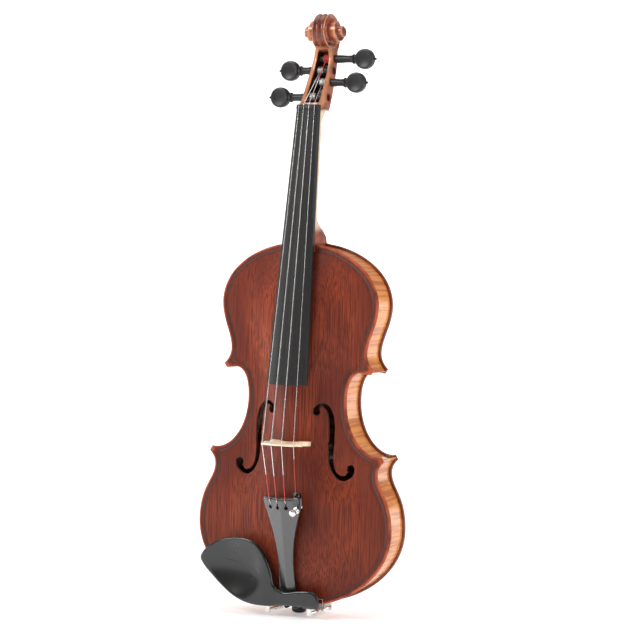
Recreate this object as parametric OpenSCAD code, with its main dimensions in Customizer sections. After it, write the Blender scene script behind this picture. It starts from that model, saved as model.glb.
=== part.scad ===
// Full-size violin, built up as a maker builds it: plates, ribs, blocks, linings,
// neck and head, fittings, strings, fine tuner and a clamped chin rest.
// Shapes are drawn with x across, y along the length from the bottom edge and z up from
// the back's glue line, and place() then stands them upright, belly facing -Y, scroll up.

/* [Body] */
// Length of the body, bottom edge to the top of the upper bout
body_l = 356; // [352:1:360]
// Half width of the lower bout
lower_hw = 104; // [102:0.5:106]
// Half width of the upper bout
upper_hw = 84; // [82:0.5:86]
// Half width of the waist
waist_hw = 53; // [52:0.5:55]
// Height of the ribs
rib_h = 31; // [30:0.5:32]
// Thickness of the ribs
rib_t = 1; // [1:0.1:1.4]
// How far the plate edges stand out past the ribs
overhang = 2.5; // [2:0.1:3]
// Thickness of the plates at their edges
edge_t = 4; // [3.6:0.1:4.4]
// Rise of the belly's arch above its edge
belly_rise = 11.5; // [10:0.5:13]
// Rise of the back's arch
back_rise = 11; // [10:0.5:13]

/* [Neck] */
// Distance from the body's bottom edge to the front face of the nut
nut_y = 486; // [484:1:488]
// Width of the fingerboard at the nut
nut_w = 24; // [23:0.5:25]
// Width of the fingerboard at its free end
board_end_w = 42.6; // [41:0.2:44]
// Length of the fingerboard
board_l = 268; // [266:1:270]
// Radius of the fingerboard's playing surface
board_r = 42; // [40:1:44]
// Height of the fingerboard's side
board_side = 5; // [4.5:0.1:5.5]

/* [Bridge and strings] */
// Place of the bridge along the body
bridge_y = 161; // [158:1:164]
// Height of the bridge's top above the back's glue line
bridge_top = 77; // [76:0.5:78]
// Distance between the outer strings at the bridge
bridge_spread = 33.5; // [33:0.5:35]
// Distance between the outer strings at the nut
nut_spread = 16.5; // [16:0.1:17]

/* [Fittings] */
// Radius of the end button's head
button_r = 7.2; // [6.5:0.1:7.5]
// Radius of a tuning peg's shank at its collar
peg_r = 4; // [3.8:0.1:4.2]
// Radial running clearance of a peg in its holes
peg_gap = 0.05; // [0.03:0.01:0.08]
// Radius of the chin rest's turnbuckle barrels
barrel_r = 3; // [2.8:0.1:3.2]

/* [Hidden] */
$fn = 48;
touch = 0.02;                       // gap left between glued faces that curve
curve_steps = 8;                    // points along each curve of the outline
hanger_y = 480;                     // the part's origin, where a neck hanger holds it
hanger_z = 17.5;
rib_mid = rib_h / 2;
belly_z = rib_h + edge_t;           // top of the belly's edge

wood_red = [0.42, 0.13, 0.05];
wood_gold = [0.72, 0.38, 0.12];
raw_wood = [0.85, 0.72, 0.5];
ebony = [0.12, 0.12, 0.13];
steel = [0.8, 0.8, 0.82];
silver = [0.7, 0.7, 0.7];
brass = [0.8, 0.62, 0.25];
cork = [0.7, 0.52, 0.35];

module place() rotate([90, 0, 0]) translate([0, -hanger_y, -hanger_z]) children();

// ---- outline: curves of four control points, right half, bottom to top ----
lower_tip = [94.4, 147.2];
lower_tip_in = [91.8, 151.8];
upper_tip_in = [78.2, 230.4];
upper_tip = [80.9, 234.6];
lower_curves = [
    [[0, 0], [57, 0], [lower_hw, 35], [lower_hw, 78]],
    [[lower_hw, 78], [lower_hw, 112], [88, 119], [88, 134]],
    [[88, 134], [88, 140], [90.5, 143.5], lower_tip]];
waist_curves = [
    [lower_tip_in, [73, 148.5], [waist_hw, 171], [waist_hw, 203]],
    [[waist_hw, 203], [waist_hw, 224], [60, 237], upper_tip_in]];
upper_curves = [
    [upper_tip, [77, 238], [73.2, 243], [73.2, 250]],
    [[73.2, 250], [73.2, 264], [upper_hw, 278], [upper_hw, 296]],
    [[upper_hw, 296], [upper_hw, body_l - 25], [44, body_l], [0, body_l]]];

function curve_point(c, t) =
    pow(1 - t, 3) * c[0] + 3 * t * pow(1 - t, 2) * c[1] + 3 * t * t * (1 - t) * c[2]
    + pow(t, 3) * c[3];
function run(curves) = [for (c = curves) for (i = [0:curve_steps - 1])
    curve_point(c, i / curve_steps)];
function path_of(curves) = concat(run(curves), [curves[len(curves) - 1][3]]);
lower_path = path_of(lower_curves);
waist_path = path_of(waist_curves);
upper_path = path_of(upper_curves);
half_outline = concat(lower_path, waist_path, upper_path);

function mirrored(p) = [for (i = [len(p) - 1:-1:0]) [-p[i][0], p[i][1]]];
function left_normal(a, b) = [a[1] - b[1], b[0] - a[0]] / norm(b - a);
function inset(p, d) = [for (i = [0:len(p) - 1])
    p[i] + d * left_normal(p[max(i - 1, 0)], p[min(i + 1, len(p) - 1)])];

module outline() polygon(concat(half_outline, mirrored(half_outline)));
module inside(d) offset(delta = -d) outline();

// ---- arching: height above the plate's edge at any place ----
// Half width of the arched area at each distance along the body
arch_widths = [[0, 0], [6, 0.5], [12, 42], [25, 66], [50, 86], [78, 93], [105, 87],
               [135, 58], [165, 46], [195, 42], [225, 43], [245, 52], [270, 64], [296, 74],
               [320, 66], [338, 44], [350, 0.5], [body_l + 4, 0]];
// Share of the full rise reached along the middle line
arch_spine = [[0, 0], [6, 0], [20, 0.24], [45, 0.63], [80, 0.87], [130, 0.98], [178, 1],
              [230, 0.97], [275, 0.85], [310, 0.6], [335, 0.28], [350, 0], [body_l + 4, 0]];
flat_rim = 0.02;                    // share of the rise cut off, so the rim is truly flat
function arch(x, y) = let (q = min(1, abs(x) / max(0.01, lookup(y, arch_widths))),
    h = lookup(y, arch_spine) * (1 + cos(180 * q)) / 2) max(0, h - flat_rim) / (1 - flat_rim);

// The middle line's point that each outline point is joined to across the plate
first_waist = 3 * curve_steps + 1;  // places in the outline of the waist's first point
first_upper = first_waist + 2 * curve_steps + 1;
spine_stops = [[0, 60], [curve_steps, 82], [2 * curve_steps, 103], [first_waist - 1, 108],
    [first_waist, 112], [first_waist + curve_steps / 2, 145], [first_waist + curve_steps, 198],
    [first_upper - 1, 238], [first_upper, 262], [first_upper + curve_steps, 268],
    [first_upper + 2 * curve_steps, 284], [first_upper + 3 * curve_steps, 300],
    [first_upper + 4 * curve_steps, 312]];
rim_w = 7;                          // flat band all round, inside which the arch starts
levels = [0, 0, 0.12, 0.3, 0.58, 1];
module arched_plate(path, base, rise, edge, thin) {
    n = len(path) - 1;
    m = len(levels) - 1;
    cols = 2 * m + 1;
    function ring(k) = min(k, 2 * m - k);
    function spot(i, k) = let (
        s = [0, lookup(i, spine_stops)],
        rim = rim_w / norm(s - path[i]),
        t = ring(k) == 0 ? 0 : rim + (1 - rim) * levels[ring(k)],
        p = path[i] * (1 - t) + s * t) [k <= m ? p[0] : -p[0], p[1]];
    function lift(p, k) = ring(k) < 2 ? 0 : rise * arch(p[0], p[1]);
    function rim(i, k) = (i == 0 || i == n) ? min(k, 2 * m - k) : k;
    function top(i, k) = i * cols + rim(i, k);
    function low(i, k) = (n + 1) * cols + top(i, k);
    upper = [for (i = [0:n]) for (k = [0:cols - 1]) let (p = spot(i, k))
        [p[0], p[1], base + edge + lift(p, k)]];
    lower = [for (i = [0:n]) for (k = [0:cols - 1]) let (p = spot(i, k), h = lift(p, k))
        [p[0], p[1], base + h + min(edge - thin, h)]];
    polyhedron(concat(upper, lower), concat(
        [for (i = [0:n - 1]) for (k = [0:cols - 2]) if (top(i, k) != top(i, k + 1))
            [top(i, k), top(i + 1, k), top(i, k + 1)]],
        [for (i = [0:n - 1]) for (k = [0:cols - 2]) if (top(i + 1, k) != top(i + 1, k + 1))
            [top(i, k + 1), top(i + 1, k), top(i + 1, k + 1)]],
        [for (i = [0:n - 1]) for (k = [0:cols - 2]) if (top(i, k) != top(i, k + 1))
            [low(i, k), low(i, k + 1), low(i + 1, k)]],
        [for (i = [0:n - 1]) for (k = [0:cols - 2]) if (top(i + 1, k) != top(i + 1, k + 1))
            [low(i, k + 1), low(i + 1, k + 1), low(i + 1, k)]],
        [for (i = [0:n - 1]) [top(i, 0), low(i, 0), low(i + 1, 0)]],
        [for (i = [0:n - 1]) [top(i, 0), low(i + 1, 0), top(i + 1, 0)]],
        [for (i = [0:n - 1]) let (k = cols - 1) [top(i, k), low(i + 1, k), low(i, k)]],
        [for (i = [0:n - 1]) let (k = cols - 1) [top(i, k), top(i + 1, k), low(i + 1, k)]]));
}

// ---- cuts shared by neighbouring pieces ----
heel_top_hw = 16.4;                 // the neck's root, wide at the belly
heel_low_hw = 10.4;                 // and narrow at the button
root_y = 347;                       // how deep the neck is let into its block
root_top = 38;
button_l = 13;                      // the back's button, under the heel
saddle_hw = 17.5;
saddle_l = 7;
module heel_section(gap) polygon([[-heel_low_hw - gap, 0], [heel_low_hw + gap, 0],
    [heel_top_hw + gap, root_top], [-heel_top_hw - gap, root_top]]);
module heel_prism(gap, length) translate([0, root_y + length, 0]) rotate([90, 0, 0])
    linear_extrude(length) heel_section(gap);
purfling_in = 4.15;                 // distance of the purfling from the plate's edge
purfling_w = 1.14;
purfling_t = 0.3;
button_clear = 26;                  // half width left free of purfling at the neck's root
module purfling_ring() difference() {
    inside(purfling_in);
    inside(purfling_in + purfling_w);
}

// f-hole of the treble side: two eyes joined by a curved stem
f_outer = [[20.3, 192.4], [21, 196.2], [24.8, 199.5], [29.2, 200.8], [34.5, 199.2],
           [38.7, 194.2], [41.5, 186.7], [42.5, 177.5], [42.4, 168.2], [42.2, 158.9],
           [42.1, 147.8], [43.1, 140.5], [45.8, 134.6], [50.6, 131.4], [54.3, 131.6],
           [56.5, 134.2]];
f_inner = [[64.2, 136.1], [61.2, 130.4], [55.7, 126.9], [50.1, 126.6], [44.3, 130.2],
           [39.7, 137.3], [37.2, 144.8], [36.2, 158.7], [36.2, 168], [35.8, 177.2],
           [35.1, 186.5], [34.1, 190.9], [31.8, 195.2], [28.8, 197.1], [25.6, 194.9],
           [25.5, 190.7]];
f_upper_eye = [24, 192.2];
f_lower_eye = [60.2, 138.2];
module f_hole() {
    polygon(concat(f_outer, f_inner));
    translate(f_upper_eye) circle(3.7, $fn = 24);
    translate(f_lower_eye) circle(4.3, $fn = 24);
}

module top_plate() color(wood_red) place() resize([2 * lower_hw, 0, 0]) difference() {
    arched_plate(half_outline, rib_h, belly_rise, edge_t, 3);
    for (side = [0, 1]) mirror([side, 0, 0]) translate([0, 0, rib_h - 1])
        linear_extrude(30) f_hole();
    heel_prism(0.05, 20);
    translate([-saddle_hw - 0.05, -1, rib_h - 1])
        cube([2 * saddle_hw + 0.1, saddle_l + 1.05, edge_t + 2]);
}

// The back's outline runs on round the button instead of closing across the top
button_path = concat([for (i = [0:len(half_outline) - 1])
    if (i < first_upper || half_outline[i][0] > heel_low_hw + 1) half_outline[i]],
    [[heel_low_hw, body_l - 0.3]],
    [for (a = [0:15:90]) [heel_low_hw * cos(a),
        body_l + button_l + heel_low_hw * (sin(a) - 1)]]);
module back_plate() color(wood_red) place()
    mirror([0, 0, 1]) arched_plate(button_path, 0, back_rise, edge_t, 3);

// The purfling is a thin band lying on the rim, where the real strips are let in flush
module top_purfling() color(ebony) place() translate([0, 0, belly_z + touch])
    linear_extrude(purfling_t) difference() {
        purfling_ring();
        translate([-saddle_hw - 1, 0]) square([2 * saddle_hw + 2, saddle_l + 1]);
        translate([-button_clear, root_y - 2]) square([2 * button_clear, 20]);
    }
module back_purfling() color(ebony) place() translate([0, 0, -edge_t - touch - purfling_t])
    linear_extrude(purfling_t) difference() {
        purfling_ring();
        translate([-button_clear, root_y - 2]) square([2 * button_clear, 20]);
    }

// ---- ribs, blocks and linings ----
wall_in = overhang + rib_t;         // distance of the ribs' inner face from the edge
module strip(path, near, far) {
    inner = inset(path, far);
    polygon(concat(inset(path, near), [for (i = [len(path) - 1:-1:0]) inner[i]]));
}
module button_hole(r) translate([0, 30, rib_mid]) rotate([90, 0, 0]) cylinder(r = r, h = 40);
pin_hole_r = 3.6;
module lower_rib() difference() {
    linear_extrude(rib_h) intersection() {
        strip(lower_path, overhang, wall_in);
        translate([touch / 2, 0]) square([2 * lower_hw, body_l]);
    }
    button_hole(pin_hole_r);
}
module centre_rib() linear_extrude(rib_h) difference() {
    strip(waist_path, overhang, wall_in);
    strip(lower_path, 0, wall_in);
    strip(upper_path, 0, wall_in);
}
module upper_rib() difference() {
    linear_extrude(rib_h) strip(upper_path, overhang, wall_in);
    heel_prism(0.02, 20);
}
module rib_lower_treble() color(wood_gold) place() lower_rib();
module rib_lower_bass() color(wood_gold) place() mirror([1, 0, 0]) lower_rib();
module rib_centre_treble() color(wood_gold) place() centre_rib();
module rib_centre_bass() color(wood_gold) place() mirror([1, 0, 0]) centre_rib();
module rib_upper_treble() color(wood_gold) place() upper_rib();
module rib_upper_bass() color(wood_gold) place() mirror([1, 0, 0]) upper_rib();

block_hw = 25;
block_l = 16;
// Flat shape of a block: the rib line out to its half width, closed by a straight inner face
module block_flat(path, inner_y) {
    curve = [for (p = path) if (p[0] < block_hw) p];
    side_x = max([for (p = curve) p[0]]);
    half = path[0][0] > path[len(path) - 1][0] ? [for (i = [len(curve) - 1:-1:0]) curve[i]]
        : curve;
    polygon(concat(half, [[side_x, inner_y], [-side_x, inner_y]],
        [for (i = [len(half) - 1:-1:1]) [-half[i][0], half[i][1]]]));
}
module end_block() color(raw_wood) place() difference() {
    linear_extrude(rib_h) block_flat(inset(lower_path, wall_in + touch), wall_in + block_l);
    button_hole(pin_hole_r);
}
module neck_block() color(raw_wood) place() difference() {
    linear_extrude(rib_h) block_flat(inset(upper_path, wall_in + touch),
        body_l - wall_in - block_l);
    heel_prism(0.02, 20);
}
module corner_flats() for (side = [0, 1]) mirror([side, 0]) {
    translate(lower_tip) circle(24);
    translate(upper_tip) circle(21);
}
module corner_blocks() color(raw_wood) place() linear_extrude(rib_h) intersection() {
    inside(wall_in + 0.1);
    corner_flats();
}
lining_t = 2;
lining_h = 8;
module lining_ring() difference() {
    inside(wall_in + 0.1);
    inside(wall_in + 0.1 + lining_t);
    offset(delta = touch) corner_flats();
    translate([-block_hw - 0.1, -1]) square([2 * block_hw + 0.2, wall_in + block_l + 1]);
    translate([-block_hw - 0.1, body_l - wall_in - block_l]) square([2 * block_hw + 0.2, 40]);
}
module top_linings() color(raw_wood) place() translate([0, 0, rib_h - lining_h])
    linear_extrude(lining_h) lining_ring();
module back_linings() color(raw_wood) place() linear_extrude(lining_h) lining_ring();

// ---- bass bar and sound post, fitted to the arching ----
function belly_in(x, y) = let (h = belly_rise * arch(x, y)) rib_h + h + min(1, h);
function belly_out(x, y) = belly_z + belly_rise * arch(x, y);
function back_in(x, y) = let (h = back_rise * arch(x, y)) -h - min(1, h);
bar_x = -17;
bar_hw = 2.75;
bar_ends = [48, 312];
// The belly's flat facets hang below its true arch, most of all towards its ends
function bar_gap(y) = lookup(y, [[48, 2], [110, 1.2], [250, 1.2], [312, 2]]);
module bass_bar() color(raw_wood) place() translate([bar_x + bar_hw, 0, 0])
    rotate([90, 0, -90]) mirror([1, 0, 0]) linear_extrude(2 * bar_hw) polygon(concat(
        [for (y = [bar_ends[0]:12:bar_ends[1]]) [y, belly_in(bar_x - bar_hw, y) - bar_gap(y)]],
        [[bar_ends[1], 34.5], [220, 32], [170, 30.5], [120, 32], [bar_ends[0], 34.5]]));
post_r = 3.1;
post_at = [19, 155];
module sound_post() color(raw_wood) place() {
    far = post_at[0] + post_r;
    low = back_in(far, post_at[1]) + 0.1;
    translate([post_at[0], post_at[1], low])
        cylinder(r = post_r, h = belly_in(far, post_at[1]) - 0.1 - low);
}

// ---- fingerboard ----
board_end_y = nut_y - board_l;
nut_board_z = 29.8;                 // the board's middle line at the nut
board_slope = 0.130;
neck_slope = 0.115;                 // slope of the glue plane under the board
function board_hw(y) = (nut_w + (board_end_w - nut_w) * (nut_y - y) / board_l) / 2;
function sag(x, r) = r - sqrt(r * r - x * x);
function board_top(x, y) = nut_board_z + board_slope * (nut_y - y) - sag(x, board_r);
glue_z = nut_board_z - sag(nut_w / 2, board_r) - board_side;
function board_under(y) = glue_z + neck_slope * (nut_y - y);
arc_n = 12;
module board_solid() {
    ring_n = arc_n + 3;
    function ring(y, hw) = concat(
        [for (i = [0:arc_n]) let (x = -hw + 2 * hw * i / arc_n) [x, y, board_top(x, y)]],
        [[hw, y, board_under(y)], [-hw, y, board_under(y)]]);
    polyhedron(
        concat(ring(board_end_y, board_hw(board_end_y)), ring(nut_y, board_hw(nut_y))),
        concat([[for (i = [0:ring_n - 1]) i]],
            [[for (i = [ring_n - 1:-1:0]) ring_n + i]],
            [for (i = [0:ring_n - 1]) let (j = (i + 1) % ring_n)
                [i, ring_n + i, ring_n + j]],
            [for (i = [0:ring_n - 1]) let (j = (i + 1) % ring_n) [i, ring_n + j, j]]));
}
module fingerboard() color(ebony) place() board_solid();

nut_l = 5;
nut_z = nut_board_z + 0.5;
module nut() color(ebony) place() translate([0, nut_y + nut_l, 0]) rotate([90, 0, 0])
    linear_extrude(nut_l) polygon(concat([[-nut_w / 2, glue_z], [nut_w / 2, glue_z]],
        [for (i = [arc_n:-1:0]) let (x = -nut_w / 2 + nut_w * i / arc_n)
            [x, nut_z - sag(x, board_r)]]));

module saddle() color(ebony) place() translate([-saddle_hw, 0, 0]) rotate([90, 0, 90])
    linear_extrude(2 * saddle_hw) polygon([[0, rib_h], [saddle_l, rib_h],
        [saddle_l, belly_z + 0.5], [saddle_l - 2, belly_z + 2.4], [saddle_l - 4, belly_z + 3],
        [1.5, belly_z + 2.6], [0, belly_z + 1]]);

// ---- neck: heel, shaft, pegbox and scroll from one piece ----
// Each section: place along the neck, half width, height of the back, squareness
neck_sections = [[356, 16.2, 0, 4], [362, 15.4, 0, 3.6], [367.5, 14.8, 0.6, 3],
                 [370.5, 14.6, 5, 2.6], [374, 14.6, 11.5, 2.4], [379, 14.8, 17.5, 2.2],
                 [386, 15, 21, 2.2], [400, 14.9, 20.6, 2.2], [430, 13.8, 16.8, 2.2],
                 [460, 12.9, 13, 2.2], [470, 12.5, 12.2, 2.2], [476, 12.4, 9.2, 2.2],
                 [480, 12.3, 5.2, 2.3], [484, 12.3, 1.8, 2.5], [488, 12.3, -0.2, 2.8],
                 [491, 12.4, -1.3, 3]];
round_n = 14;
module neck_shaft() {
    ring_n = round_n + 1;
    count = len(neck_sections);
    function across(a, e) = sign(cos(a)) * pow(abs(cos(a)), 2 / e);
    function ring(s) = [for (i = [0:round_n]) let (a = 180 * i / round_n,
        top = min(board_under(s[0]), glue_z + 15))
        [s[1] * across(a, s[3]), s[0], top - touch - (top - s[2]) * pow(sin(a), 2 / s[3])]];
    polyhedron([for (s = neck_sections) for (p = ring(s)) p],
        concat([[for (i = [0:ring_n - 1]) i]],
            [[for (i = [ring_n - 1:-1:0]) (count - 1) * ring_n + i]],
            [for (k = [0:count - 2]) for (i = [0:ring_n - 1]) let (j = (i + 1) % ring_n)
                [k * ring_n + i, (k + 1) * ring_n + i, (k + 1) * ring_n + j]],
            [for (k = [0:count - 2]) for (i = [0:ring_n - 1]) let (j = (i + 1) % ring_n)
                [k * ring_n + i, (k + 1) * ring_n + j, k * ring_n + j]]));
}
// Side view of the pegbox: places along the length and height
pegbox_front = [[487, 22], [493, 19.5], [499, 14.5], [514, 6.5], [526, 0], [538, -4.5],
                [546, -4], [552, 0]];
pegbox_back = [[560, -25], [550, -24], [538, -20.5], [526, -16.8], [514, -11.6], [499, -5.4],
               [492, -2.2], [487, 0.2]];
pocket = [[493, 40], [494, 2.8], [499, 0], [514, -6.8], [526, -13.6], [538, -17.9],
          [543.5, -16.7], [547, 40]];
head_hw = [12.6, 10.4];             // half width of the pegbox at the nut and at the throat
cheek_t = 4.6;
throat_y = 556;
scroll_at = [563.7, -8.7];
scroll_r = 18.4;
module side_cut(hw) translate([-hw, 0, 0]) rotate([90, 0, 90]) linear_extrude(2 * hw)
    children();
module plan_taper(in) translate([0, 0, -60]) linear_extrude(120) polygon([
    [-head_hw[0] + in, nut_y], [head_hw[0] - in, nut_y],
    [head_hw[1] - in, throat_y + 20], [-head_hw[1] + in, throat_y + 20]]);
function spiral(r0, r1) = [for (a = [0:15:345]) (r0 + (r1 - r0) * a / 360) *
    [cos(a - 90), sin(a - 90)]];
module volute(hw, r0, r1) side_cut(hw) translate(scroll_at) polygon(spiral(r0, r1));
// Each peg: side its head is on (-1 bass), then place and height of its axis
peg_g_at = [-1, 498.7, 5.9, 40];
peg_d_at = [-1, 525.8, -8, 36.5];
peg_a_at = [1, 537.7, -12.5, 42];
peg_e_at = [1, 513.8, -1.2, 38.5];
peg_taper = 1 / 60;                 // loss of radius along a peg's shank
collar_x = 15.5;                    // distance of the collar's face from the middle
shank_l = 30;
module peg_shank(at, gap) translate([at[0] * collar_x, at[1], at[2]])
    rotate([0, -90 * at[0], 0])
    cylinder(r1 = peg_r + gap, r2 = peg_r + gap - peg_taper * shank_l, h = shank_l);
module neck() color(wood_red) place() difference() {
    union() {
        heel_prism(0, 10);
        neck_shaft();
        intersection() {
            side_cut(20) polygon(concat(pegbox_front, pegbox_back));
            plan_taper(0);
        }
        volute(8.5, scroll_r, scroll_r - 4);
        volute(13.5, 12.5, 9.5);
        volute(17.5, 8, 6.2);
        volute(20.5, 4.8, 4.2);
    }
    intersection() {
        side_cut(20) polygon(pocket);
        plan_taper(cheek_t);
    }
    for (at = [peg_g_at, peg_d_at, peg_a_at, peg_e_at]) peg_shank(at, peg_gap);
}

// ---- pegs ----
head_r = 10;
module peg(at) color(ebony) place() {
    peg_shank(at, 0);
    translate([at[0] * collar_x, at[1], at[2]]) rotate([0, 90 * at[0], 0])
        rotate_extrude() polygon([[0, 0], [peg_r, 0], [5.6, 0.8], [5.8, 2.4], [4.2, 3.6],
            [3.4, 5.4], [3.4, at[3] - 30.8], [4.4, at[3] - 27], [4.4, at[3] - 24],
            [0, at[3] - 24]]);
    intersection() {
        translate([at[0] * at[3], at[1], at[2] - 4.2]) cylinder(r = head_r, h = 8.4);
        translate([at[0] * at[3], at[1], at[2]]) rotate([0, 90, 0]) cylinder(r = 10, h = 30,
            center = true);
    }
    translate([at[0] * (at[3] + head_r + 0.6), at[1], at[2]]) sphere(1.9);
}
module peg_g() peg(peg_g_at);
module peg_d() peg(peg_d_at);
module peg_a() peg(peg_a_at);
module peg_e() peg(peg_e_at);

// ---- strings ----
// Each string: radius, then place across at the tailpiece, at the bridge and at the nut,
// and the peg that it winds on
thin = 0.13;
string_g_is = [0.4, -12.5, -0.5, -0.5, peg_g_at];
string_d_is = [0.4, -4, -1 / 6, -1 / 6, peg_d_at];
string_a_is = [0.34, 5, 1 / 6, 1 / 6, peg_a_at];
string_e_is = [thin, 15.8, 0.5, 0.5, peg_e_at];
winding_hw = 3;
winding_r = 4.6;
function bridge_x(s) = s[2] * bridge_spread;
function nut_x(s) = s[3] * nut_spread;
function winding_x(s) = nut_x(s) * 0.3 + s[4][0] * 1.2;
function bridge_z(x) = bridge_top - sag(x, board_r);
function on_bridge(s) = let (x = bridge_x(s)) [x, bridge_y, bridge_z(x) + s[0] + 0.05];
function on_nut(s, y) = let (x = nut_x(s)) [x, y, nut_z - sag(x, board_r) + s[0] + 0.12];
function at_peg(s) = [winding_x(s), s[4][1] - 1.2, s[4][2] + winding_r + s[0] + 0.3];

tail_slope = 0.22;
tail_tilt = atan(tail_slope);
tail_at = [0, 106, 63.6];           // middle of the tailpiece's fret, at string height
module on_tail() translate(tail_at) rotate([tail_tilt, 0, 0]) children();
function from_tail(x, v, w) = [x, tail_at[1] + v * cos(tail_tilt) - w * sin(tail_tilt),
    tail_at[2] + v * sin(tail_tilt) + w * cos(tail_tilt)];
tail_ridge = 1;                     // height of the ridge, and its fall to the edges
tail_fall = 5 / 21;
function facet(x) = tail_ridge - tail_fall * abs(x);
function on_fret(s, v) = from_tail(s[1], v, facet(s[1]) + 1 + s[0] + 0.1);
ball_v = -7.5;

module tube(points, r, sides = 8) {
    n = len(points) - 1;
    function way(i) = let (d = points[min(i + 1, n)] - points[max(i - 1, 0)]) d / norm(d);
    function side(i) = let (c = cross(way(i), abs(way(i)[0]) > 0.9 ? [0, 0, 1] : [1, 0, 0]))
        c / norm(c);
    function ring(i) = let (u = side(i), v = cross(way(i), u)) [for (k = [0:sides - 1])
        points[i] + r * (cos(360 * k / sides) * u + sin(360 * k / sides) * v)];
    polyhedron([for (i = [0:n]) for (p = ring(i)) p], concat(
        [[for (k = [0:sides - 1]) k]], [[for (k = [sides - 1:-1:0]) n * sides + k]],
        [for (i = [0:n - 1]) for (k = [0:sides - 1]) let (j = (k + 1) % sides)
            [i * sides + k, (i + 1) * sides + k, (i + 1) * sides + j, i * sides + j]]));
}
module string_run(s, first) tube(concat(first, [on_bridge(s), on_nut(s, nut_y + 0.6),
    on_nut(s, nut_y + nut_l + 0.2), at_peg(s)]), s[0]);
module ball_string(s) color(silver) place() {
    string_run(s, [from_tail(s[1], ball_v, -4), from_tail(s[1], -2.6, facet(s[1]) + 0.2),
        on_fret(s, -1.1), on_fret(s, 1.1)]);
    translate(from_tail(s[1], ball_v, -4)) rotate([0, 90, 0])
        cylinder(r = 1.6, h = 3, center = true);
}
module string_g() ball_string(string_g_is);
module string_d() ball_string(string_d_is);
module string_a() ball_string(string_a_is);
hook_at = from_tail(string_e_is[1], 8.6, -1.6);
module string_e() color(steel) place() string_run(string_e_is, [hook_at + [0, 1.2, 0.3]]);

module winding(s) color(silver) place() difference() {
    translate([winding_x(s) - winding_hw, s[4][1], s[4][2]]) rotate([0, 90, 0])
        cylinder(r = winding_r, h = 2 * winding_hw);
    peg_shank(s[4], 0.01);
}
module winding_g() winding(string_g_is);
module winding_d() winding(string_d_is);
module winding_a() winding(string_a_is);
module winding_e() winding(string_e_is);

// ---- bridge ----
foot_hw = 20.5;
bridge_foot_t = 4.4;
bridge_top_t = 1.6;
function belly_near(x) = max(belly_out(x, bridge_y - 2.2), belly_out(x, bridge_y + 2.2)) + 0.1;
bridge_side = [[20.5, 2.4], [15.5, 4.6], [13.6, 8.4], [19.8, 13.4], [20.2, 17.5],
               [15.6, 20.4], [17.2, 25.6], [18.4, 27.6]];
function side_heights(sgn) = [for (p = bridge_side) [sgn * p[0], p[1] + 46]];
module bridge_face() difference() {
    polygon(concat(
        [for (i = [0:4]) let (x = -foot_hw + i * 2.5) [x, belly_near(x)]],
        [[-9.5, 49.3], [-6, 52], [0, 53.2], [6, 52], [9.5, 49.3]],
        [for (i = [4:-1:0]) let (x = foot_hw - i * 2.5) [x, belly_near(x)]],
        side_heights(1),
        [for (i = [8:-1:-8]) let (x = i * 18 / 8) [x, bridge_z(x)]],
        [for (i = [len(bridge_side) - 1:-1:0]) side_heights(-1)[i]]));
    for (side = [-1, 1]) {
        translate([side * 13, 60]) circle(3.4);
        translate([side * 2.2, 66]) circle(2.6);
    }
    polygon([[-4.6, 65.4], [4.6, 65.4], [0, 60]]);
}
module bridge() color(raw_wood) place() intersection() {
    translate([0, bridge_y + 5, 0]) rotate([90, 0, 0]) linear_extrude(10) bridge_face();
    translate([-30, 0, 0]) rotate([90, 0, 90]) linear_extrude(60) polygon([
        [bridge_y - bridge_foot_t / 2, 40], [bridge_y + bridge_foot_t / 2, 40],
        [bridge_y + bridge_top_t / 2, bridge_top + 1],
        [bridge_y - bridge_top_t / 2, bridge_top + 1]]);
}

// ---- tailpiece ----
// Half width of the tailpiece at each distance below its fret
tail_plan = [[2.4, 19.5], [0, 21], [-4, 20.6], [-11, 18], [-20, 15.2], [-30, 12.6],
             [-41, 10.2], [-52, 8.8], [-63, 8], [-76, 8], [-90, 8.6], [-99, 8.8],
             [-102, 7.4]];
tail_low = -6.5;
tail_end_low = -4.2;                // shallower over the lower bout
gut_pocket_top = -1.5;
slot_strings = [string_g_is, string_d_is, string_a_is];
tuner_x = string_e_is[1];
screw_v = -9;
tuner_post_r = 2.2;
gut_x = 4;
module tailpiece() color(ebony) place() on_tail() difference() {
    intersection() {
        translate([0, 0, -20]) linear_extrude(40) polygon(concat(
            [for (p = tail_plan) [p[1], p[0]]],
            [for (i = [len(tail_plan) - 1:-1:0]) [-tail_plan[i][1], tail_plan[i][0]]]));
        translate([0, 10, 0]) rotate([90, 0, 0]) linear_extrude(130) polygon([
            [-22, tail_low], [22, tail_low], [22, facet(22)], [0, tail_ridge],
            [-22, facet(22)]]);
        translate([-25, 0, 0]) rotate([90, 0, 90]) linear_extrude(50) polygon([
            [5, tail_low], [5, 3], [-106, 3], [-106, tail_end_low], [-62, tail_low + 0.5]]);
    }
    for (s = slot_strings) {
        translate([s[1], ball_v, -10]) cylinder(r = 2.3, h = 20);
        translate([s[1] - 0.7, ball_v, -10]) cube([1.4, 6, 20]);
    }
    translate([tuner_x, screw_v, -10]) cylinder(r = tuner_post_r, h = 20);
    translate([-7, -106, -9]) cube([14, 14, 9 + gut_pocket_top]);
}
module tailpiece_fret() color(ebony) place() on_tail() for (side = [0, 1])
    mirror([side, 0, 0]) translate([0, 0.9, 0]) rotate([90, 0, 0]) linear_extrude(1.8)
    polygon([[0, tail_ridge], [11.6, facet(11.6)], [11.6, facet(11.6) + 1],
        [0, tail_ridge + 1]]);

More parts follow.
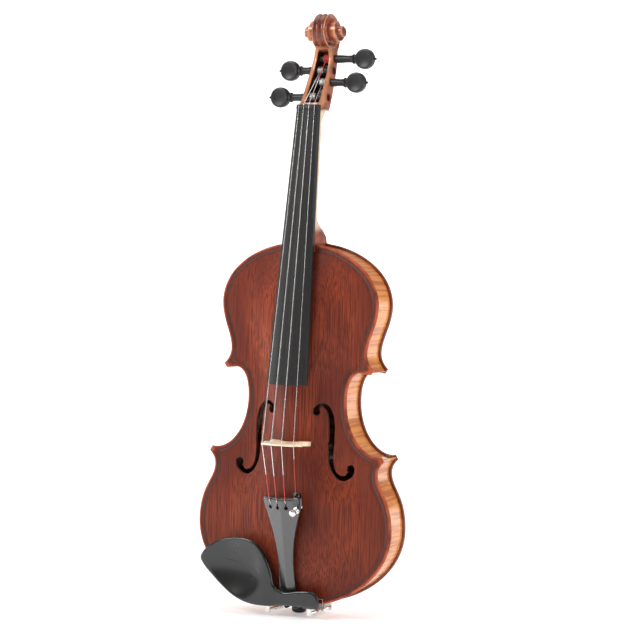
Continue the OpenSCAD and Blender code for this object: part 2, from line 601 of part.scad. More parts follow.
// ---- end button and tailgut ----
button_neck_r = 4.6;
button_out = 2.5;                   // the rib's outer face at the bottom
module end_button() color(ebony) place() translate([0, button_out, rib_mid])
    rotate([90, 0, 0]) {
        translate([0, 0, -17]) cylinder(r = pin_hole_r - 0.05, h = 18);
        rotate_extrude() polygon([[0, 0], [5.6, 0], [5.6, 0.6], [button_neck_r, 1.2],
            [button_neck_r, 4], [6.4, 4.8], [button_r, 5.8], [button_r, 9.8], [6, 11],
            [3, 11.8], [0, 12]]);
    }
gut_r = 1.1;
gut_z = tail_at[2] - 100 * tail_slope - 5.6;
// Half of the tailgut's run: from its nut, over the saddle, down and round the button
gut_side = [[gut_x, 12, 38.5], [gut_x, 7, 38.9], [gut_x, 3, 39.3], [gut_x + 0.2, 0.4, 38.6],
            [gut_x + 0.4, -1.4, 36.6], [gut_x + 0.8, -1.6, 32], [gut_x + 1.5, -1, 24],
            [5.9, -0.1, 18]];
gut_round = [for (a = [0:20:180]) [5.9 * cos(a), -0.1, rib_mid - 5.9 * sin(a)]];
module tailgut() color(ebony) place() tube(concat(gut_side, gut_round,
    [for (i = [len(gut_side) - 1:-1:0]) [-gut_side[i][0], gut_side[i][1], gut_side[i][2]]]),
    gut_r);
module tailgut_nuts() color(brass) place() for (side = [-1, 1])
    translate([side * gut_x, 15.4, 38.5]) rotate([90, 0, 0]) cylinder(r = 1.9, h = 3.2);

// ---- fine tuner of the E string ----
frame_hw = 3;
frame_t = 1;
frame_w = -1.95;                    // height of the frame's underside
pivot_v = 5.4;
pivot_w = -4.6;
pivot_r = 0.8;
screw_r = 1.2;
screw_tip = -9.6;
knob_w = 5.6;
knob_r = 3.5;
lever_hw = 1.7;
module tuner_frame() color(steel) place() on_tail() translate([tuner_x, 0, 0]) difference() {
    union() {
        translate([-frame_hw, screw_v - 3, frame_w]) cube([2 * frame_hw, 6, frame_t]);
        translate([-frame_hw, screw_v, frame_w]) cube([2 * frame_hw, 12.4, frame_t]);
        for (side = [-1, 1]) translate([side * (frame_hw - 0.5) - 0.5, 2.6, pivot_w - 1.8])
            cube([1, 4.6, 3.4]);
        translate([-frame_hw, 2.6, -4]) cube([2 * frame_hw, 0.8, 2.4]);
    }
    translate([0, screw_v, -5]) cylinder(r = screw_r + 0.05, h = 10);
    translate([-5, pivot_v, pivot_w]) rotate([0, 90, 0]) cylinder(r = pivot_r + 0.05, h = 10);
}
module tuner_ring_nut() color(steel) place() on_tail()
    translate([tuner_x, screw_v, frame_w + frame_t]) difference() {
        cylinder(r = 3.3, h = 1.4);
        translate([0, 0, -1]) cylinder(r = screw_r + 0.05, h = 4);
    }
module tuner_lever() color(steel) place() on_tail() translate([tuner_x, 0, 0]) {
    translate([-frame_hw, pivot_v, pivot_w]) rotate([0, 90, 0])
        cylinder(r = pivot_r, h = 2 * frame_hw);
    translate([-lever_hw, 0, 0]) rotate([90, 0, 90]) linear_extrude(2 * lever_hw) polygon([
        [3.7, -4.6], [4, -9], [1, -9.9], [-12, -9.9], [-12, -11.2], [2, -11.2], [5.6, -10],
        [7, -5], [7, -3.4], [9.6, -2.2], [9.4, -0.9], [8.6, -1.8], [5.4, -3.2]]);
}
module tuner_screw() color(steel) place() on_tail() translate([tuner_x, screw_v, screw_tip])
    cylinder(r = screw_r, h = 9 - screw_tip);
module tuner_knob() color(steel) place() on_tail() translate([tuner_x, screw_v, knob_w])
    difference() {
        rotate_extrude() polygon([[0, 0], [knob_r - 0.6, 0], [knob_r, 0.6], [knob_r, 3],
            [knob_r - 0.8, 3.8], [0, 4.2]]);
        translate([0, 0, -1]) cylinder(r = screw_r + 0.05, h = 5 - 0.6);
    }

// ---- chin rest ----
cup_plan = [[-90, 44], [-84, 53], [-74, 60], [-62, 64], [-46, 65.5], [-34, 63], [-25, 56],
            [-18, 45], [-13.5, 33], [-11.5, 23], [-8, 17], [-8, 4], [-22, 1.5], [-38, 3],
            [-54, 8.5], [-68, 17.5], [-79, 28], [-87, 37]];
arm_plan = [[-12, 18], [0, 15.5], [14, 17.5], [26, 18.5], [33, 15.5], [36, 9], [35, 4],
            [22, 4.6], [0, 5], [-12, 5]];
arm_low = 47.4;
foot_pad = 2;
foot_in = 19;
foot_l = 16;
module chinrest_plate() color(ebony) place() {
    difference() {
        translate([0, 0, 47]) linear_extrude(11) polygon(cup_plan);
        translate([-50, 38, 53 + 110]) sphere(r = 113, $fn = 96);
    }
    translate([0, 0, arm_low]) linear_extrude(4.6) polygon(arm_plan);
    for (side = [-1, 1]) translate([side > 0 ? foot_in : -foot_in - foot_l, 1,
        belly_z + foot_pad]) cube([foot_l, 8.6, arm_low - belly_z - foot_pad + 1]);
}
module chinrest_cork() color(cork) place() for (side = [-1, 1])
    translate([side > 0 ? foot_in : -foot_in - foot_l, 0.6, belly_z + 0.35])
        cube([foot_l, 9, foot_pad - 0.35]);
leg_x = 22.5;
leg_y = -5;
leg_r = 1.5;
leg_tab_z = 39;
barrel_z = 8;
barrel_l = 16;
module chinrest_bracket() color(steel) place() for (side = [-1, 1])
    translate([side * leg_x, leg_y, 0]) {
        translate([0, 0, barrel_z + barrel_l - 6.5]) cylinder(r = leg_r,
            h = leg_tab_z + 1 - barrel_z - barrel_l + 6.5);
        translate([-2.4, -2.4, leg_tab_z]) cube([4.8, 1 - leg_y + 2.4, 2.2]);
    }
foot_cork_t = 2;
foot_t = 2.4;
foot_top = -edge_t - foot_cork_t;
module clamp_foot() color(steel) place() {
    for (side = [-1, 1]) translate([side * leg_x, leg_y, foot_top - 1])
        cylinder(r = leg_r, h = barrel_z + 6.5 - foot_top + 1);
    translate([-leg_x - 3, leg_y - 2.6, foot_top - foot_t])
        cube([2 * leg_x + 6, 5.2 + 7, foot_t]);
}
module clamp_foot_cork() color(cork) place()
    translate([-leg_x - 2, 0.4, foot_top]) cube([2 * leg_x + 4, 6.4, foot_cork_t - 0.35]);
module barrel(side) color(steel) place() translate([side * leg_x, leg_y, barrel_z])
    difference() {
        rotate_extrude() polygon([[leg_r + 0.05, 0], [barrel_r - 0.4, 0], [barrel_r, 0.5],
            [barrel_r, barrel_l - 0.5], [barrel_r - 0.4, barrel_l], [leg_r + 0.05, barrel_l]]);
        for (turn = [0, 90]) translate([0, 0, barrel_l / 2]) rotate([0, 90, turn])
            cylinder(r = 0.9, h = 20, center = true);
    }
module barrel_bass() barrel(-1);
module barrel_treble() barrel(1);

top_plate();
back_plate();
rib_upper_bass();
rib_upper_treble();
rib_centre_bass();
rib_centre_treble();
rib_lower_bass();
rib_lower_treble();
neck_block();
end_block();
corner_blocks();
top_linings();
back_linings();
bass_bar();
sound_post();
top_purfling();
back_purfling();
neck();
fingerboard();
nut();
saddle();
end_button();
bridge();
tailpiece();
tailpiece_fret();
tailgut();
tailgut_nuts();
peg_g();
peg_d();
peg_a();
peg_e();
winding_g();
winding_d();
winding_a();
winding_e();
string_g();
string_d();
string_a();
string_e();
tuner_frame();
tuner_ring_nut();
tuner_lever();
tuner_screw();
tuner_knob();
chinrest_plate();
chinrest_cork();
chinrest_bracket();
clamp_foot();
clamp_foot_cork();
barrel_bass();
barrel_treble();
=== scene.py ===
# Full-size violin: the looks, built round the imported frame.
# Shapes are drawn in the maker's millimetres, x across, y along the length from the body's
# bottom edge and z up from the back's glue line, and place() puts them in the frame.
import math

import bmesh
import bpy
import numpy as np
from mathutils import Matrix, Vector


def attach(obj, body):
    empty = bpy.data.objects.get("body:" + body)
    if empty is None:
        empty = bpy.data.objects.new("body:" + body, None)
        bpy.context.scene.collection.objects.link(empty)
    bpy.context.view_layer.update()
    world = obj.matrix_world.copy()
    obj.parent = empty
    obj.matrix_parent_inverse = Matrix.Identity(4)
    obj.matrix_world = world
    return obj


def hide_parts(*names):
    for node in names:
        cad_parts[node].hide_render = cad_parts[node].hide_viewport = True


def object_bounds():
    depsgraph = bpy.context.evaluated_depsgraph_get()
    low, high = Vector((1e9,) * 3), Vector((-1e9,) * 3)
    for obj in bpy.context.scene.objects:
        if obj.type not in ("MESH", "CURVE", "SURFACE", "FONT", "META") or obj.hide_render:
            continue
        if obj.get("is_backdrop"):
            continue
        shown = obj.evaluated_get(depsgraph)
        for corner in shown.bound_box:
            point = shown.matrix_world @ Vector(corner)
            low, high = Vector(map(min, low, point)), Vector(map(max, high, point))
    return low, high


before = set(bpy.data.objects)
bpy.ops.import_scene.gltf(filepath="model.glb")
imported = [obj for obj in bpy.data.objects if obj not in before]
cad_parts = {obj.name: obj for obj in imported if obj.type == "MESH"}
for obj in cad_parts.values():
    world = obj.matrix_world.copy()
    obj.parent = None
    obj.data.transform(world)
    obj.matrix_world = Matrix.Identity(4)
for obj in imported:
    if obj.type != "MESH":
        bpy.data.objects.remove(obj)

cad_low, cad_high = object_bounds()
MM = 0.001
HANGER_Y, HANGER_Z = 480, 17.5      # the frame's origin in the maker's millimetres
ROOT = "instrument"


# ---- meshes ----
def place(points):
    """The maker's millimetres to the row frame in metres."""
    p = np.asarray(points, float).reshape(-1, 3)
    return np.column_stack([p[:, 0], HANGER_Z - p[:, 2], p[:, 1] - HANGER_Y]) * MM


def spots(mesh):
    """A mesh's points in the maker's millimetres."""
    flat = np.zeros(len(mesh.vertices) * 3)
    mesh.vertices.foreach_get("co", flat)
    p = flat.reshape(-1, 3) / MM
    return np.column_stack([p[:, 0], p[:, 2] + HANGER_Y, HANGER_Z - p[:, 1]])


def read(table, at):
    """A table of pairs read in straight lines between its rows."""
    return np.interp(at, *zip(*table))


def tidy(mesh, sharp=35):
    """Welds doubles, turns faces outwards and smooths all but the sharp edges."""
    work = bmesh.new()
    work.from_mesh(mesh)
    bmesh.ops.remove_doubles(work, verts=work.verts, dist=4e-6)
    bmesh.ops.dissolve_degenerate(work, edges=work.edges, dist=1e-7)
    bmesh.ops.recalc_face_normals(work, faces=work.faces)
    work.to_mesh(mesh)
    work.free()
    mesh.shade_smooth()
    mesh.set_sharp_from_angle(angle=math.radians(sharp))


def put(name, data):
    """A new object in the scene."""
    obj = bpy.data.objects.new(name, data)
    bpy.context.scene.collection.objects.link(obj)
    return obj


def solid(name, shapes, finish, sharp=35, uv=None):
    """One object from shapes of (points, faces), welded and turned outwards."""
    points, faces, base = [], [], 0
    for p, f in shapes:
        points.append(np.asarray(p, float).reshape(-1, 3))
        faces += [tuple(int(i) + base for i in face) for face in f]
        base += len(points[-1])
    mesh = bpy.data.meshes.new(name)
    mesh.from_pydata(place(np.concatenate(points)).tolist(), [], faces)
    if uv is not None:
        layer = mesh.uv_layers.new(name="UVMap")
        for loop in mesh.loops:
            layer.data[loop.index].uv = uv[loop.vertex_index]
    tidy(mesh, sharp)
    mesh.materials.append(finish.material)
    return put(name, mesh)


def loft(rings, closed=True, ends=True):
    """Skins rings of equal length; closed rings wrap round and ends are capped."""
    n, count = len(rings[0]), len(rings)
    wrap = n if closed else n - 1
    faces = [(k * n + i, k * n + (i + 1) % n, (k + 1) * n + (i + 1) % n, (k + 1) * n + i)
             for k in range(count - 1) for i in range(wrap)]
    if ends:
        faces.append(tuple(range(n - 1, -1, -1)))
        faces.append(tuple((count - 1) * n + i for i in range(n)))
    return np.concatenate([np.asarray(r, float).reshape(-1, 3) for r in rings]), faces


def frame_of(axis):
    """Two directions square to an axis and to each other."""
    axis = np.asarray(axis, float) / np.linalg.norm(axis)
    start = np.array([0, 0, 1.0]) if abs(axis[2]) < 0.9 else np.array([1.0, 0, 0])
    u = np.cross(start, axis)
    u /= np.linalg.norm(u)
    return axis, u, np.cross(axis, u)


def lathe(profile, centre, axis, sides=40):
    """Turned solid: the profile is pairs of (distance along the axis, radius)."""
    axis, u, v = frame_of(axis)
    turn = np.linspace(0, 2 * math.pi, sides, endpoint=False)
    ring = np.outer(np.cos(turn), u) + np.outer(np.sin(turn), v)
    return loft([np.asarray(centre) + along * axis + max(radius, 0.001) * ring
                 for along, radius in profile])


def tube(path, radius, sides):
    """Round rod along a path."""
    path = np.asarray(path, float)
    ways = np.gradient(path, axis=0)
    ways /= np.linalg.norm(ways, axis=1)[:, None]
    _, u, _ = frame_of(ways[0])
    rings = []
    turn = np.linspace(0, 2 * math.pi, sides, endpoint=False)
    for point, way in zip(path, ways):
        u = u - way * np.dot(u, way)
        u /= np.linalg.norm(u)
        v = np.cross(way, u)
        rings.append(point + radius * (np.outer(np.cos(turn), u) + np.outer(np.sin(turn), v)))
    return loft(rings)


def flow(points, steps=6, closed=False):
    """Smooth curve through points."""
    p = np.asarray(points, float)
    n = len(p)
    out = []
    for i in range(n if closed else n - 1):
        a, b, c, d = [p[j % n] if closed else p[min(max(j, 0), n - 1)]
                      for j in (i - 1, i, i + 1, i + 2)]
        for t in np.linspace(0, 1, steps, endpoint=False):
            out.append(0.5 * (2 * b + (c - a) * t + (2 * a - 5 * b + 4 * c - d) * t ** 2
                              + (3 * b - a - 3 * c + d) * t ** 3))
    if not closed:
        out.append(p[-1])
    return np.array(out)


def box(low, high, b=0.0):
    """Block between two corners, its edges eased by b."""
    (x0, y0, z0), (x1, y1, z1) = low, high
    flat = [(x0 + b, y0), (x1 - b, y0), (x1, y0 + b), (x1, y1 - b), (x1 - b, y1), (x0 + b, y1),
            (x0, y1 - b), (x0, y0 + b)]
    mid = np.array([(x0 + x1) / 2, (y0 + y1) / 2])
    size = np.array([x1 - x0, y1 - y0]) / 2
    rings = []
    for z, pull in ((z0, b), (z0 + b, 0), (z1 - b, 0), (z1, b)):
        share = (size - pull) / size
        rings.append([(*(mid + (np.array(q) - mid) * share), z) for q in flat])
    return loft(rings)


def prism(flat, low, high, axis=2):
    """A flat outline pushed along an axis, with the other two axes in order."""
    order = {0: (1, 2, 0), 1: (0, 2, 1), 2: (0, 1, 2)}[axis]
    rings = []
    for level in (low, high):
        ring = np.zeros((len(flat), 3))
        ring[:, order[0]], ring[:, order[1]] = np.asarray(flat, float).T
        ring[:, order[2]] = level
        rings.append(ring)
    return loft(rings)


def plain_mesh(obj):
    """Works an object's modifiers into its mesh and removes them."""
    bpy.context.view_layer.update()
    shaped = obj.evaluated_get(bpy.context.evaluated_depsgraph_get())
    mesh = bpy.data.meshes.new_from_object(shaped)
    obj.modifiers.clear()
    obj.data = mesh


def merge(obj, other, close=False):
    """Adds another object's mesh to an object's, closing open edges, and removes the other."""
    work = bmesh.new()
    work.from_mesh(obj.data)
    work.from_mesh(other.data)
    if close:
        bmesh.ops.holes_fill(work, edges=[e for e in work.edges if e.is_boundary], sides=0)
    bmesh.ops.recalc_face_normals(work, faces=work.faces)
    work.to_mesh(obj.data)
    work.free()
    bpy.data.objects.remove(other)


def carve(obj, shapes, finish, sharp=35):
    """Cuts shapes out of an object; the cut faces take the cutter's finish."""
    cutter = solid("cutter", shapes, finish)
    cut = obj.modifiers.new("cut", "BOOLEAN")
    cut.object, cut.solver, cut.operation = cutter, "EXACT", "DIFFERENCE"
    cut.material_mode = "TRANSFER"
    plain_mesh(obj)
    bpy.data.objects.remove(cutter)
    tidy(obj.data, sharp)


def note(obj, name, values):
    """Writes one number for each point, which a finish reads by name."""
    layer = obj.data.attributes.new(name, "FLOAT", "POINT")
    layer.data.foreach_set("value", np.asarray(values, np.float32))


def fit(obj, slot, *nodes, body=ROOT):
    """Hangs a finished piece on its body, in place of its plain nodes."""
    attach(obj, body)
    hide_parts(*nodes)


# ---- finishes ----
class Value:
    """A socket of a finish. Expressions on it add their Math nodes."""

    def __init__(self, finish, socket):
        self.finish, self.socket = finish, socket

    def maths(self, operation, other=0.0, turned=False):
        first, second = (other, self) if turned else (self, other)
        return self.finish.node("ShaderNodeMath", {"operation": operation},
                                {0: first, 1: second})

    def __add__(self, other):
        return self.maths("ADD", other)

    def __rsub__(self, other):
        return self.maths("SUBTRACT", other, True)

    def __mul__(self, other):
        return self.maths("MULTIPLY", other)

    def __abs__(self):
        return self.maths("ABSOLUTE")


class Finish:
    """A material whose shader's fixed values are given by name."""

    def __init__(self, name, **fixed):
        self.material = bpy.data.materials.new(name)
        self.material.use_nodes = True
        self.tree = self.material.node_tree
        self.shader = self.tree.nodes["Principled BSDF"]
        for key, value in fixed.items():
            self.shader.inputs[key.replace("_", " ")].default_value = value
        self.place = self.node("ShaderNodeTexCoord", out="Object")

    def node(self, kind, settings=None, inputs=None, out=0):
        made = self.tree.nodes.new(kind)
        for key, value in (settings or {}).items():
            setattr(made, key, value)
        for key, value in (inputs or {}).items():
            if isinstance(value, Value):
                self.tree.links.new(value.socket, made.inputs[key])
            else:
                made.inputs[key].default_value = value
        return Value(self, made.outputs[out])

    def feed(self, **links):
        for key, value in links.items():
            self.tree.links.new(value.socket, self.shader.inputs[key.replace("_", " ")])
        return self

    def noise(self, scale, detail=2.0, rough=0.5, twist=0.0, source=None):
        stretched = self.node("ShaderNodeMapping", None,
                              {"Vector": source or self.place, "Scale": scale})
        return self.node("ShaderNodeTexNoise", None, {
            "Vector": stretched, "Scale": 1.0, "Detail": detail,
            "Roughness": rough, "Distortion": twist}, "Fac")

    def rise(self, value, low, high):
        return self.node("ShaderNodeMapRange", {"interpolation_type": "SMOOTHSTEP"},
                         {"Value": value, "From Min": low, "From Max": high})

    def mix(self, share, a, b):
        a, b = [(*c, 1.0) if isinstance(c, tuple) and len(c) == 3 else c for c in (a, b)]
        return self.node("ShaderNodeMix", {"data_type": "RGBA"}, {0: share, 6: a, 7: b}, 2)

    def noted(self, name):
        return self.node("ShaderNodeAttribute", {"attribute_name": name}, None, "Fac")

    def axis(self, letter):
        return self.node("ShaderNodeSeparateXYZ", None, {0: self.place}, letter)

    def bump(self, height, distance, strength=1.0):
        return self.node("ShaderNodeBump", None, {"Height": height, "Strength": strength,
                                                  "Distance": distance}, "Normal")


def belly_finish():
    """Spruce under red-brown varnish: dark upright grain, worn paler patches, a worn rim; darker
    along the gutter and towards the edge, and painted shade darkening its lower part.
    """
    f = Finish("belly_varnish", Coat_Weight=0.03, Coat_Roughness=0.2, Specular_IOR_Level=0.18)
    year = f.noise((1450, 1450, 12), 2, 0.6)
    broad = f.noise((330, 330, 3), 2, 0.5)
    pores = f.noise((1500, 1500, 120), 2, 0.6)
    patches = f.noise((17, 17, 7), 2, 0.5)
    edge = f.noted("edge")
    lines = f.rise(year, 0.45, 0.57)
    ground = f.mix(f.rise(patches, 0.36, 0.66), (0.19, 0.028, 0.011), (0.37, 0.064, 0.021))
    streaked = f.mix(f.rise(broad, 0.35, 0.7) * 0.3, ground, (0.13, 0.020, 0.009))
    grained = f.mix(lines * 0.8, streaked, (0.07, 0.012, 0.007))
    pored = f.mix(f.rise(pores, 0.55, 0.75) * 0.5, grained, (0.05, 0.012, 0.009))
    # The colour darkens along the gutter, in a band about 3 to 6 mm in from the edge.
    gutter = f.rise(edge, 2.2, 3.6) * (1 - f.rise(edge, 5.6, 9.5))
    gutter_darkened = f.mix(gutter * 0.35, pored, (0.06, 0.013, 0.009))
    # The colour darkens towards the edge: fully within 6 mm of it, fading out by 34 mm.
    edge_darkened_and_painted_shade = f.mix((1 - f.rise(edge, 6, 34)) * 0.3, gutter_darkened, (0.10, 0.019, 0.012))
    # Painted shade: the colour darkens towards the bottom of the violin, where less light falls.
    low = 1 - f.rise(f.axis("Z"), -0.43, -0.17)
    edge_darkened_and_painted_shade = f.mix(low * 0.34, edge_darkened_and_painted_shade, (0.09, 0.015, 0.008))
    worn = (1 - f.rise(edge, 0.9, 2.6)) * f.rise(f.noise((60, 60, 60), 2), 0.28, 0.6)
    colour = f.mix(worn * 0.85, edge_darkened_and_painted_shade, (0.50, 0.10, 0.035))
    height = lines * -0.6 + f.rise(pores, 0.5, 0.8) * -0.4
    return f.feed(Base_Color=colour, Roughness=lines * 0.12 + 0.33,
                  Normal=f.bump(height, 0.00012, 0.5))


def flamed(name, dark, pale, stripes, strength, coat=0.5, coat_rough=0.08, wear=None,
           on_uv=False):
    """Varnished maple: broad flames across a fine grain; wear is the colour of a plate's rim."""
    f = Finish(name, Coat_Weight=coat, Coat_Roughness=coat_rough, Specular_IOR_Level=0.35)
    source = f.node("ShaderNodeUVMap") if on_uv else None
    flame = f.noise(stripes, 2, 0.45, 0.6, source)
    fine = f.noise(tuple(9 * s for s in stripes[::-1]), 3, 0.6, 0, source)
    cloud = f.noise((14, 14, 9), 2)
    share = f.rise(flame, 0.38, 0.62) * strength + f.rise(cloud, 0.3, 0.7) * (1 - strength)
    colour = f.mix(share, dark, pale)
    colour = f.mix(f.rise(fine, 0.5, 0.8) * 0.22, colour, tuple(c * 0.4 for c in dark))
    if wear:
        rim = f.noted("edge")
        colour = f.mix((1 - f.rise(rim, 1.0, 2.6)) * 0.7, colour, wear)
        gutter = f.rise(rim, 2.2, 3.6) * (1 - f.rise(rim, 5.6, 8.5))
        colour = f.mix(gutter * 0.5, colour, tuple(c * 0.4 for c in dark))
    return f.feed(Base_Color=colour, Roughness=share * -0.06 + 0.26,
                  Normal=f.bump(fine, 0.00008, 0.35))


def head_finish():
    """Head and heel in red-brown varnish, worn pale on the edges, with painted shade in the
    scroll's hollows and inside the pegbox; the shaft is bare maple.
    """
    f = Finish("neck_maple", Coat_Weight=0.3, Coat_Roughness=0.15)
    along = f.axis("Z")
    flame = f.noise((30, 30, 190), 2, 0.45, 0.5)
    fine = f.noise((900, 900, 60), 3, 0.6)
    cloud = f.noise((55, 55, 55), 3)
    red = f.mix(f.rise(cloud, 0.32, 0.68), (0.14, 0.021, 0.009), (0.42, 0.082, 0.021))
    red = f.mix(f.rise(flame, 0.4, 0.65) * 0.35, red, (0.13, 0.024, 0.014))
    # Painted shade: near black in the scroll's hollows and inside the pegbox.
    red = f.mix(f.noted("hollow") * 0.9, red, (0.016, 0.006, 0.005))
    red = f.mix(f.noted("worn") * f.rise(cloud, 0.2, 0.6) * 0.85, red, (0.74, 0.34, 0.15))
    bare = f.mix(f.rise(flame, 0.35, 0.65) * 0.5, (0.66, 0.49, 0.33), (0.78, 0.63, 0.46))
    bare = f.mix(f.rise(fine, 0.5, 0.75) * 0.25, bare, (0.36, 0.22, 0.13))
    wobble = f.noise((60, 60, 60)) * 0.006
    head_share = f.rise(along + wobble, 0.0065, 0.0105)
    heel_share = 1 - f.rise(along + wobble, -0.112, -0.102)
    varnished = head_share + heel_share
    return f.feed(Base_Color=f.mix(varnished, bare, red), Roughness=0.5 - varnished * 0.2,
                  Normal=f.bump(fine, 0.00008, 0.3))


def ebony_finish(name, rough, tint=(0.021, 0.02, 0.0195), coat=0.0, gloss=0.28):
    """Black wood with fine grey pores along the grain."""
    f = Finish(name, Coat_Weight=coat, Coat_Roughness=0.2, Specular_IOR_Level=gloss)
    pores = f.noise((1500, 1500, 55), 3, 0.6)
    cloud = f.noise((28, 28, 10), 2)
    colour = f.mix(f.rise(pores, 0.52, 0.78) * 0.7, tint, tuple(c * 2.1 for c in tint))
    return f.feed(Base_Color=colour,
                  Roughness=f.rise(cloud, 0.3, 0.7) * 0.08 + pores * 0.1 + (rough - 0.09),
                  Normal=f.bump(pores, 0.00006, 0.35))


def plain_wood(name, dark, pale, rough=0.6, scale=(500, 500, 9)):
    """Bare wood with fine grain along the length."""
    f = Finish(name)
    grain = f.noise(scale, 3, 0.6)
    fleck = f.noise((350, 350, 120), 2)
    colour = f.mix(f.rise(grain, 0.35, 0.7), pale, dark)
    colour = f.mix(f.rise(fleck, 0.58, 0.75) * 0.4, colour, tuple(c * 0.55 for c in dark))
    return f.feed(Base_Color=colour, Roughness=grain * 0.15 + (rough - 0.07),
                  Normal=f.bump(grain, 0.0001, 0.4))


def metal_finish(name, colour, rough):
    """Bright metal with fine rubbing marks and a little tarnish."""
    f = Finish(name, Metallic=1.0)
    marks = f.noise((900, 900, 900), 3, 0.6)
    tarnish = f.noise((160, 160, 160), 2)
    shade = f.mix(f.rise(tarnish, 0.5, 0.75) * 0.25, colour, tuple(c * 0.45 for c in colour))
    return f.feed(Base_Color=shade, Roughness=marks * 0.14 + (rough - 0.07),
                  Normal=f.bump(marks, 0.00002, 0.3))


def string_finish(name, silk, peg_silk=None):
    """Wound metal with red silk over stretches of the length, given in metres."""
    f = Finish(name)
    along = f.axis("Z")
    red = f.rise(along, silk[0] - 0.001, silk[0]) * (1 - f.rise(along, silk[1], silk[1] + 0.002))
    if peg_silk:
        red = red + f.rise(along, peg_silk, peg_silk + 0.003)
    wound = f.noise((900, 900, 5200), 1)
    silver = f.mix(f.rise(wound, 0.35, 0.65), (0.55, 0.54, 0.52), (0.86, 0.85, 0.83))
    return f.feed(Base_Color=f.mix(red, silver, (0.62, 0.06, 0.045)), Metallic=1 - red,
                  Roughness=red * 0.35 + 0.26, Normal=f.bump(wound, 0.00002, 0.4))


def purfling_finish():
    """Two black strips with a dark brown one between them."""
    f = Finish("purfling_strips", Coat_Weight=0.3, Coat_Roughness=0.2)
    across = abs(f.noted("across"))
    stain = f.noise((240, 240, 240), 2)
    middle_strip = f.mix(f.rise(stain, 0.3, 0.7), (0.03, 0.011, 0.007), (0.06, 0.02, 0.012))
    colour = f.mix(f.rise(across, 0.26, 0.36), middle_strip, (0.018, 0.008, 0.006))
    return f.feed(Base_Color=colour, Roughness=stain * 0.1 + 0.34)


def cork_finish():
    """Cork sheet: tan ground with dark crumbs."""
    f = Finish("cork_sheet", Roughness=0.85)
    crumbs = f.noise((1400, 1400, 1400), 3, 0.7)
    colour = f.mix(f.rise(crumbs, 0.5, 0.66), (0.50, 0.31, 0.17), (0.16, 0.08, 0.045))
    return f.feed(Base_Color=colour, Normal=f.bump(crumbs, 0.0003, 0.6))


BELLY = belly_finish()
BACK = flamed("back_varnish", (0.12, 0.022, 0.010), (0.32, 0.075, 0.022), (6, 40, 165), 0.7,
              wear=(0.16, 0.032, 0.014))
RIBS = flamed("rib_varnish", (0.40, 0.105, 0.022), (0.76, 0.29, 0.065), (230, 12, 1), 0.6,
              0.4, 0.13, on_uv=True)
HEAD = head_finish()
BOARD = ebony_finish("ebony_board", 0.44, (0.019, 0.018, 0.018))
EBONY = ebony_finish("ebony_fittings", 0.36)
SHINY = ebony_finish("ebony_polished", 0.23, (0.005, 0.0048, 0.0045), 0.35, 0.6)
LACQUER = ebony_finish("ebony_lacquered", 0.3, (0.012, 0.0118, 0.0115), 1.0, 1.0)
BRIDGE = plain_wood("bridge_maple", (0.80, 0.58, 0.36), (0.95, 0.79, 0.58), 0.5, (60, 60, 500))
SPRUCE = plain_wood("inside_spruce", (0.55, 0.38, 0.20), (0.78, 0.62, 0.40))
WILLOW = plain_wood("inside_willow", (0.62, 0.48, 0.30), (0.80, 0.68, 0.48), 0.65)
CUT = plain_wood("stained_cut", (0.07, 0.032, 0.02), (0.17, 0.08, 0.05), 0.5)
NICKEL = metal_finish("nickel_plate", (0.82, 0.81, 0.79), 0.17)
# Painted shade: the tuner frame's nickel is near black, for the shade it sits in under the
# tailpiece.
NICKEL_PAINTED_SHADE = metal_finish("nickel_painted_shade", (0.09, 0.09, 0.09), 0.24)
BRASS = metal_finish("turned_brass", (0.80, 0.56, 0.20), 0.3)
WINDING = metal_finish("string_winding", (0.62, 0.61, 0.59), 0.32)
SILK = plain_wood("red_silk", (0.4, 0.03, 0.03), (0.62, 0.06, 0.05), 0.6, (2500, 2500, 2500))
POLYMER = ebony_finish("tailgut_polymer", 0.3, (0.02, 0.02, 0.02), 0.2)
PURFLING = purfling_finish()
CORK = cork_finish()


# ---- outline and arching ----
BODY_L = 356
LOWER_HW, UPPER_HW, WAIST_HW = 104, 84, 53
RIB_H, EDGE_T, EDGE_ROUND = 31, 4, 1.9
BELLY_Z = RIB_H + EDGE_T
BELLY_RISE, BACK_RISE = 11.5, 11
LOWER_TIP, LOWER_TIP_IN = (94.4, 147.2), (91.8, 151.8)
UPPER_TIP_IN, UPPER_TIP = (78.2, 230.4), (80.9, 234.6)
CURVES = {
    0: [[(0, 0), (57, 0), (LOWER_HW, 35), (LOWER_HW, 78)],
        [(LOWER_HW, 78), (LOWER_HW, 112), (88, 119), (88, 134)],
        [(88, 134), (88, 140), (90.5, 143.5), LOWER_TIP]],
    4: [[LOWER_TIP_IN, (73, 148.5), (WAIST_HW, 171), (WAIST_HW, 203)],
        [(WAIST_HW, 203), (WAIST_HW, 224), (60, 237), UPPER_TIP_IN]],
    7: [[UPPER_TIP, (77, 238), (73.2, 243), (73.2, 250)],
        [(73.2, 250), (73.2, 264), (UPPER_HW, 278), (UPPER_HW, 296)],
        [(UPPER_HW, 296), (UPPER_HW, BODY_L - 25), (44, BODY_L), (0, BODY_L)]]}
# The place on the middle line that each stage of the outline is joined to
SPINE = [(0, 60), (1, 82), (2, 103), (3, 108), (4, 112), (4.5, 145), (5, 198), (6, 238),
         (7, 262), (8, 268), (9, 284), (10, 300), (11, 312)]
STEPS = 26
BUTTON_HW, BUTTON_L = 10.4, 13


def path_of(first):
    """Points of the bout, waist or upper curve that starts at that stage, and their stages."""
    points, stages = [], []
    for k, c in enumerate(np.array(CURVES[first], float)):
        for t in np.linspace(0, 1, STEPS + 1)[(1 if k else 0):]:
            points.append((1 - t) ** 3 * c[0] + 3 * t * (1 - t) ** 2 * c[1]
                          + 3 * t * t * (1 - t) * c[2] + t ** 3 * c[3])
            stages.append(first + k + t)
    return np.array(points), np.array(stages)


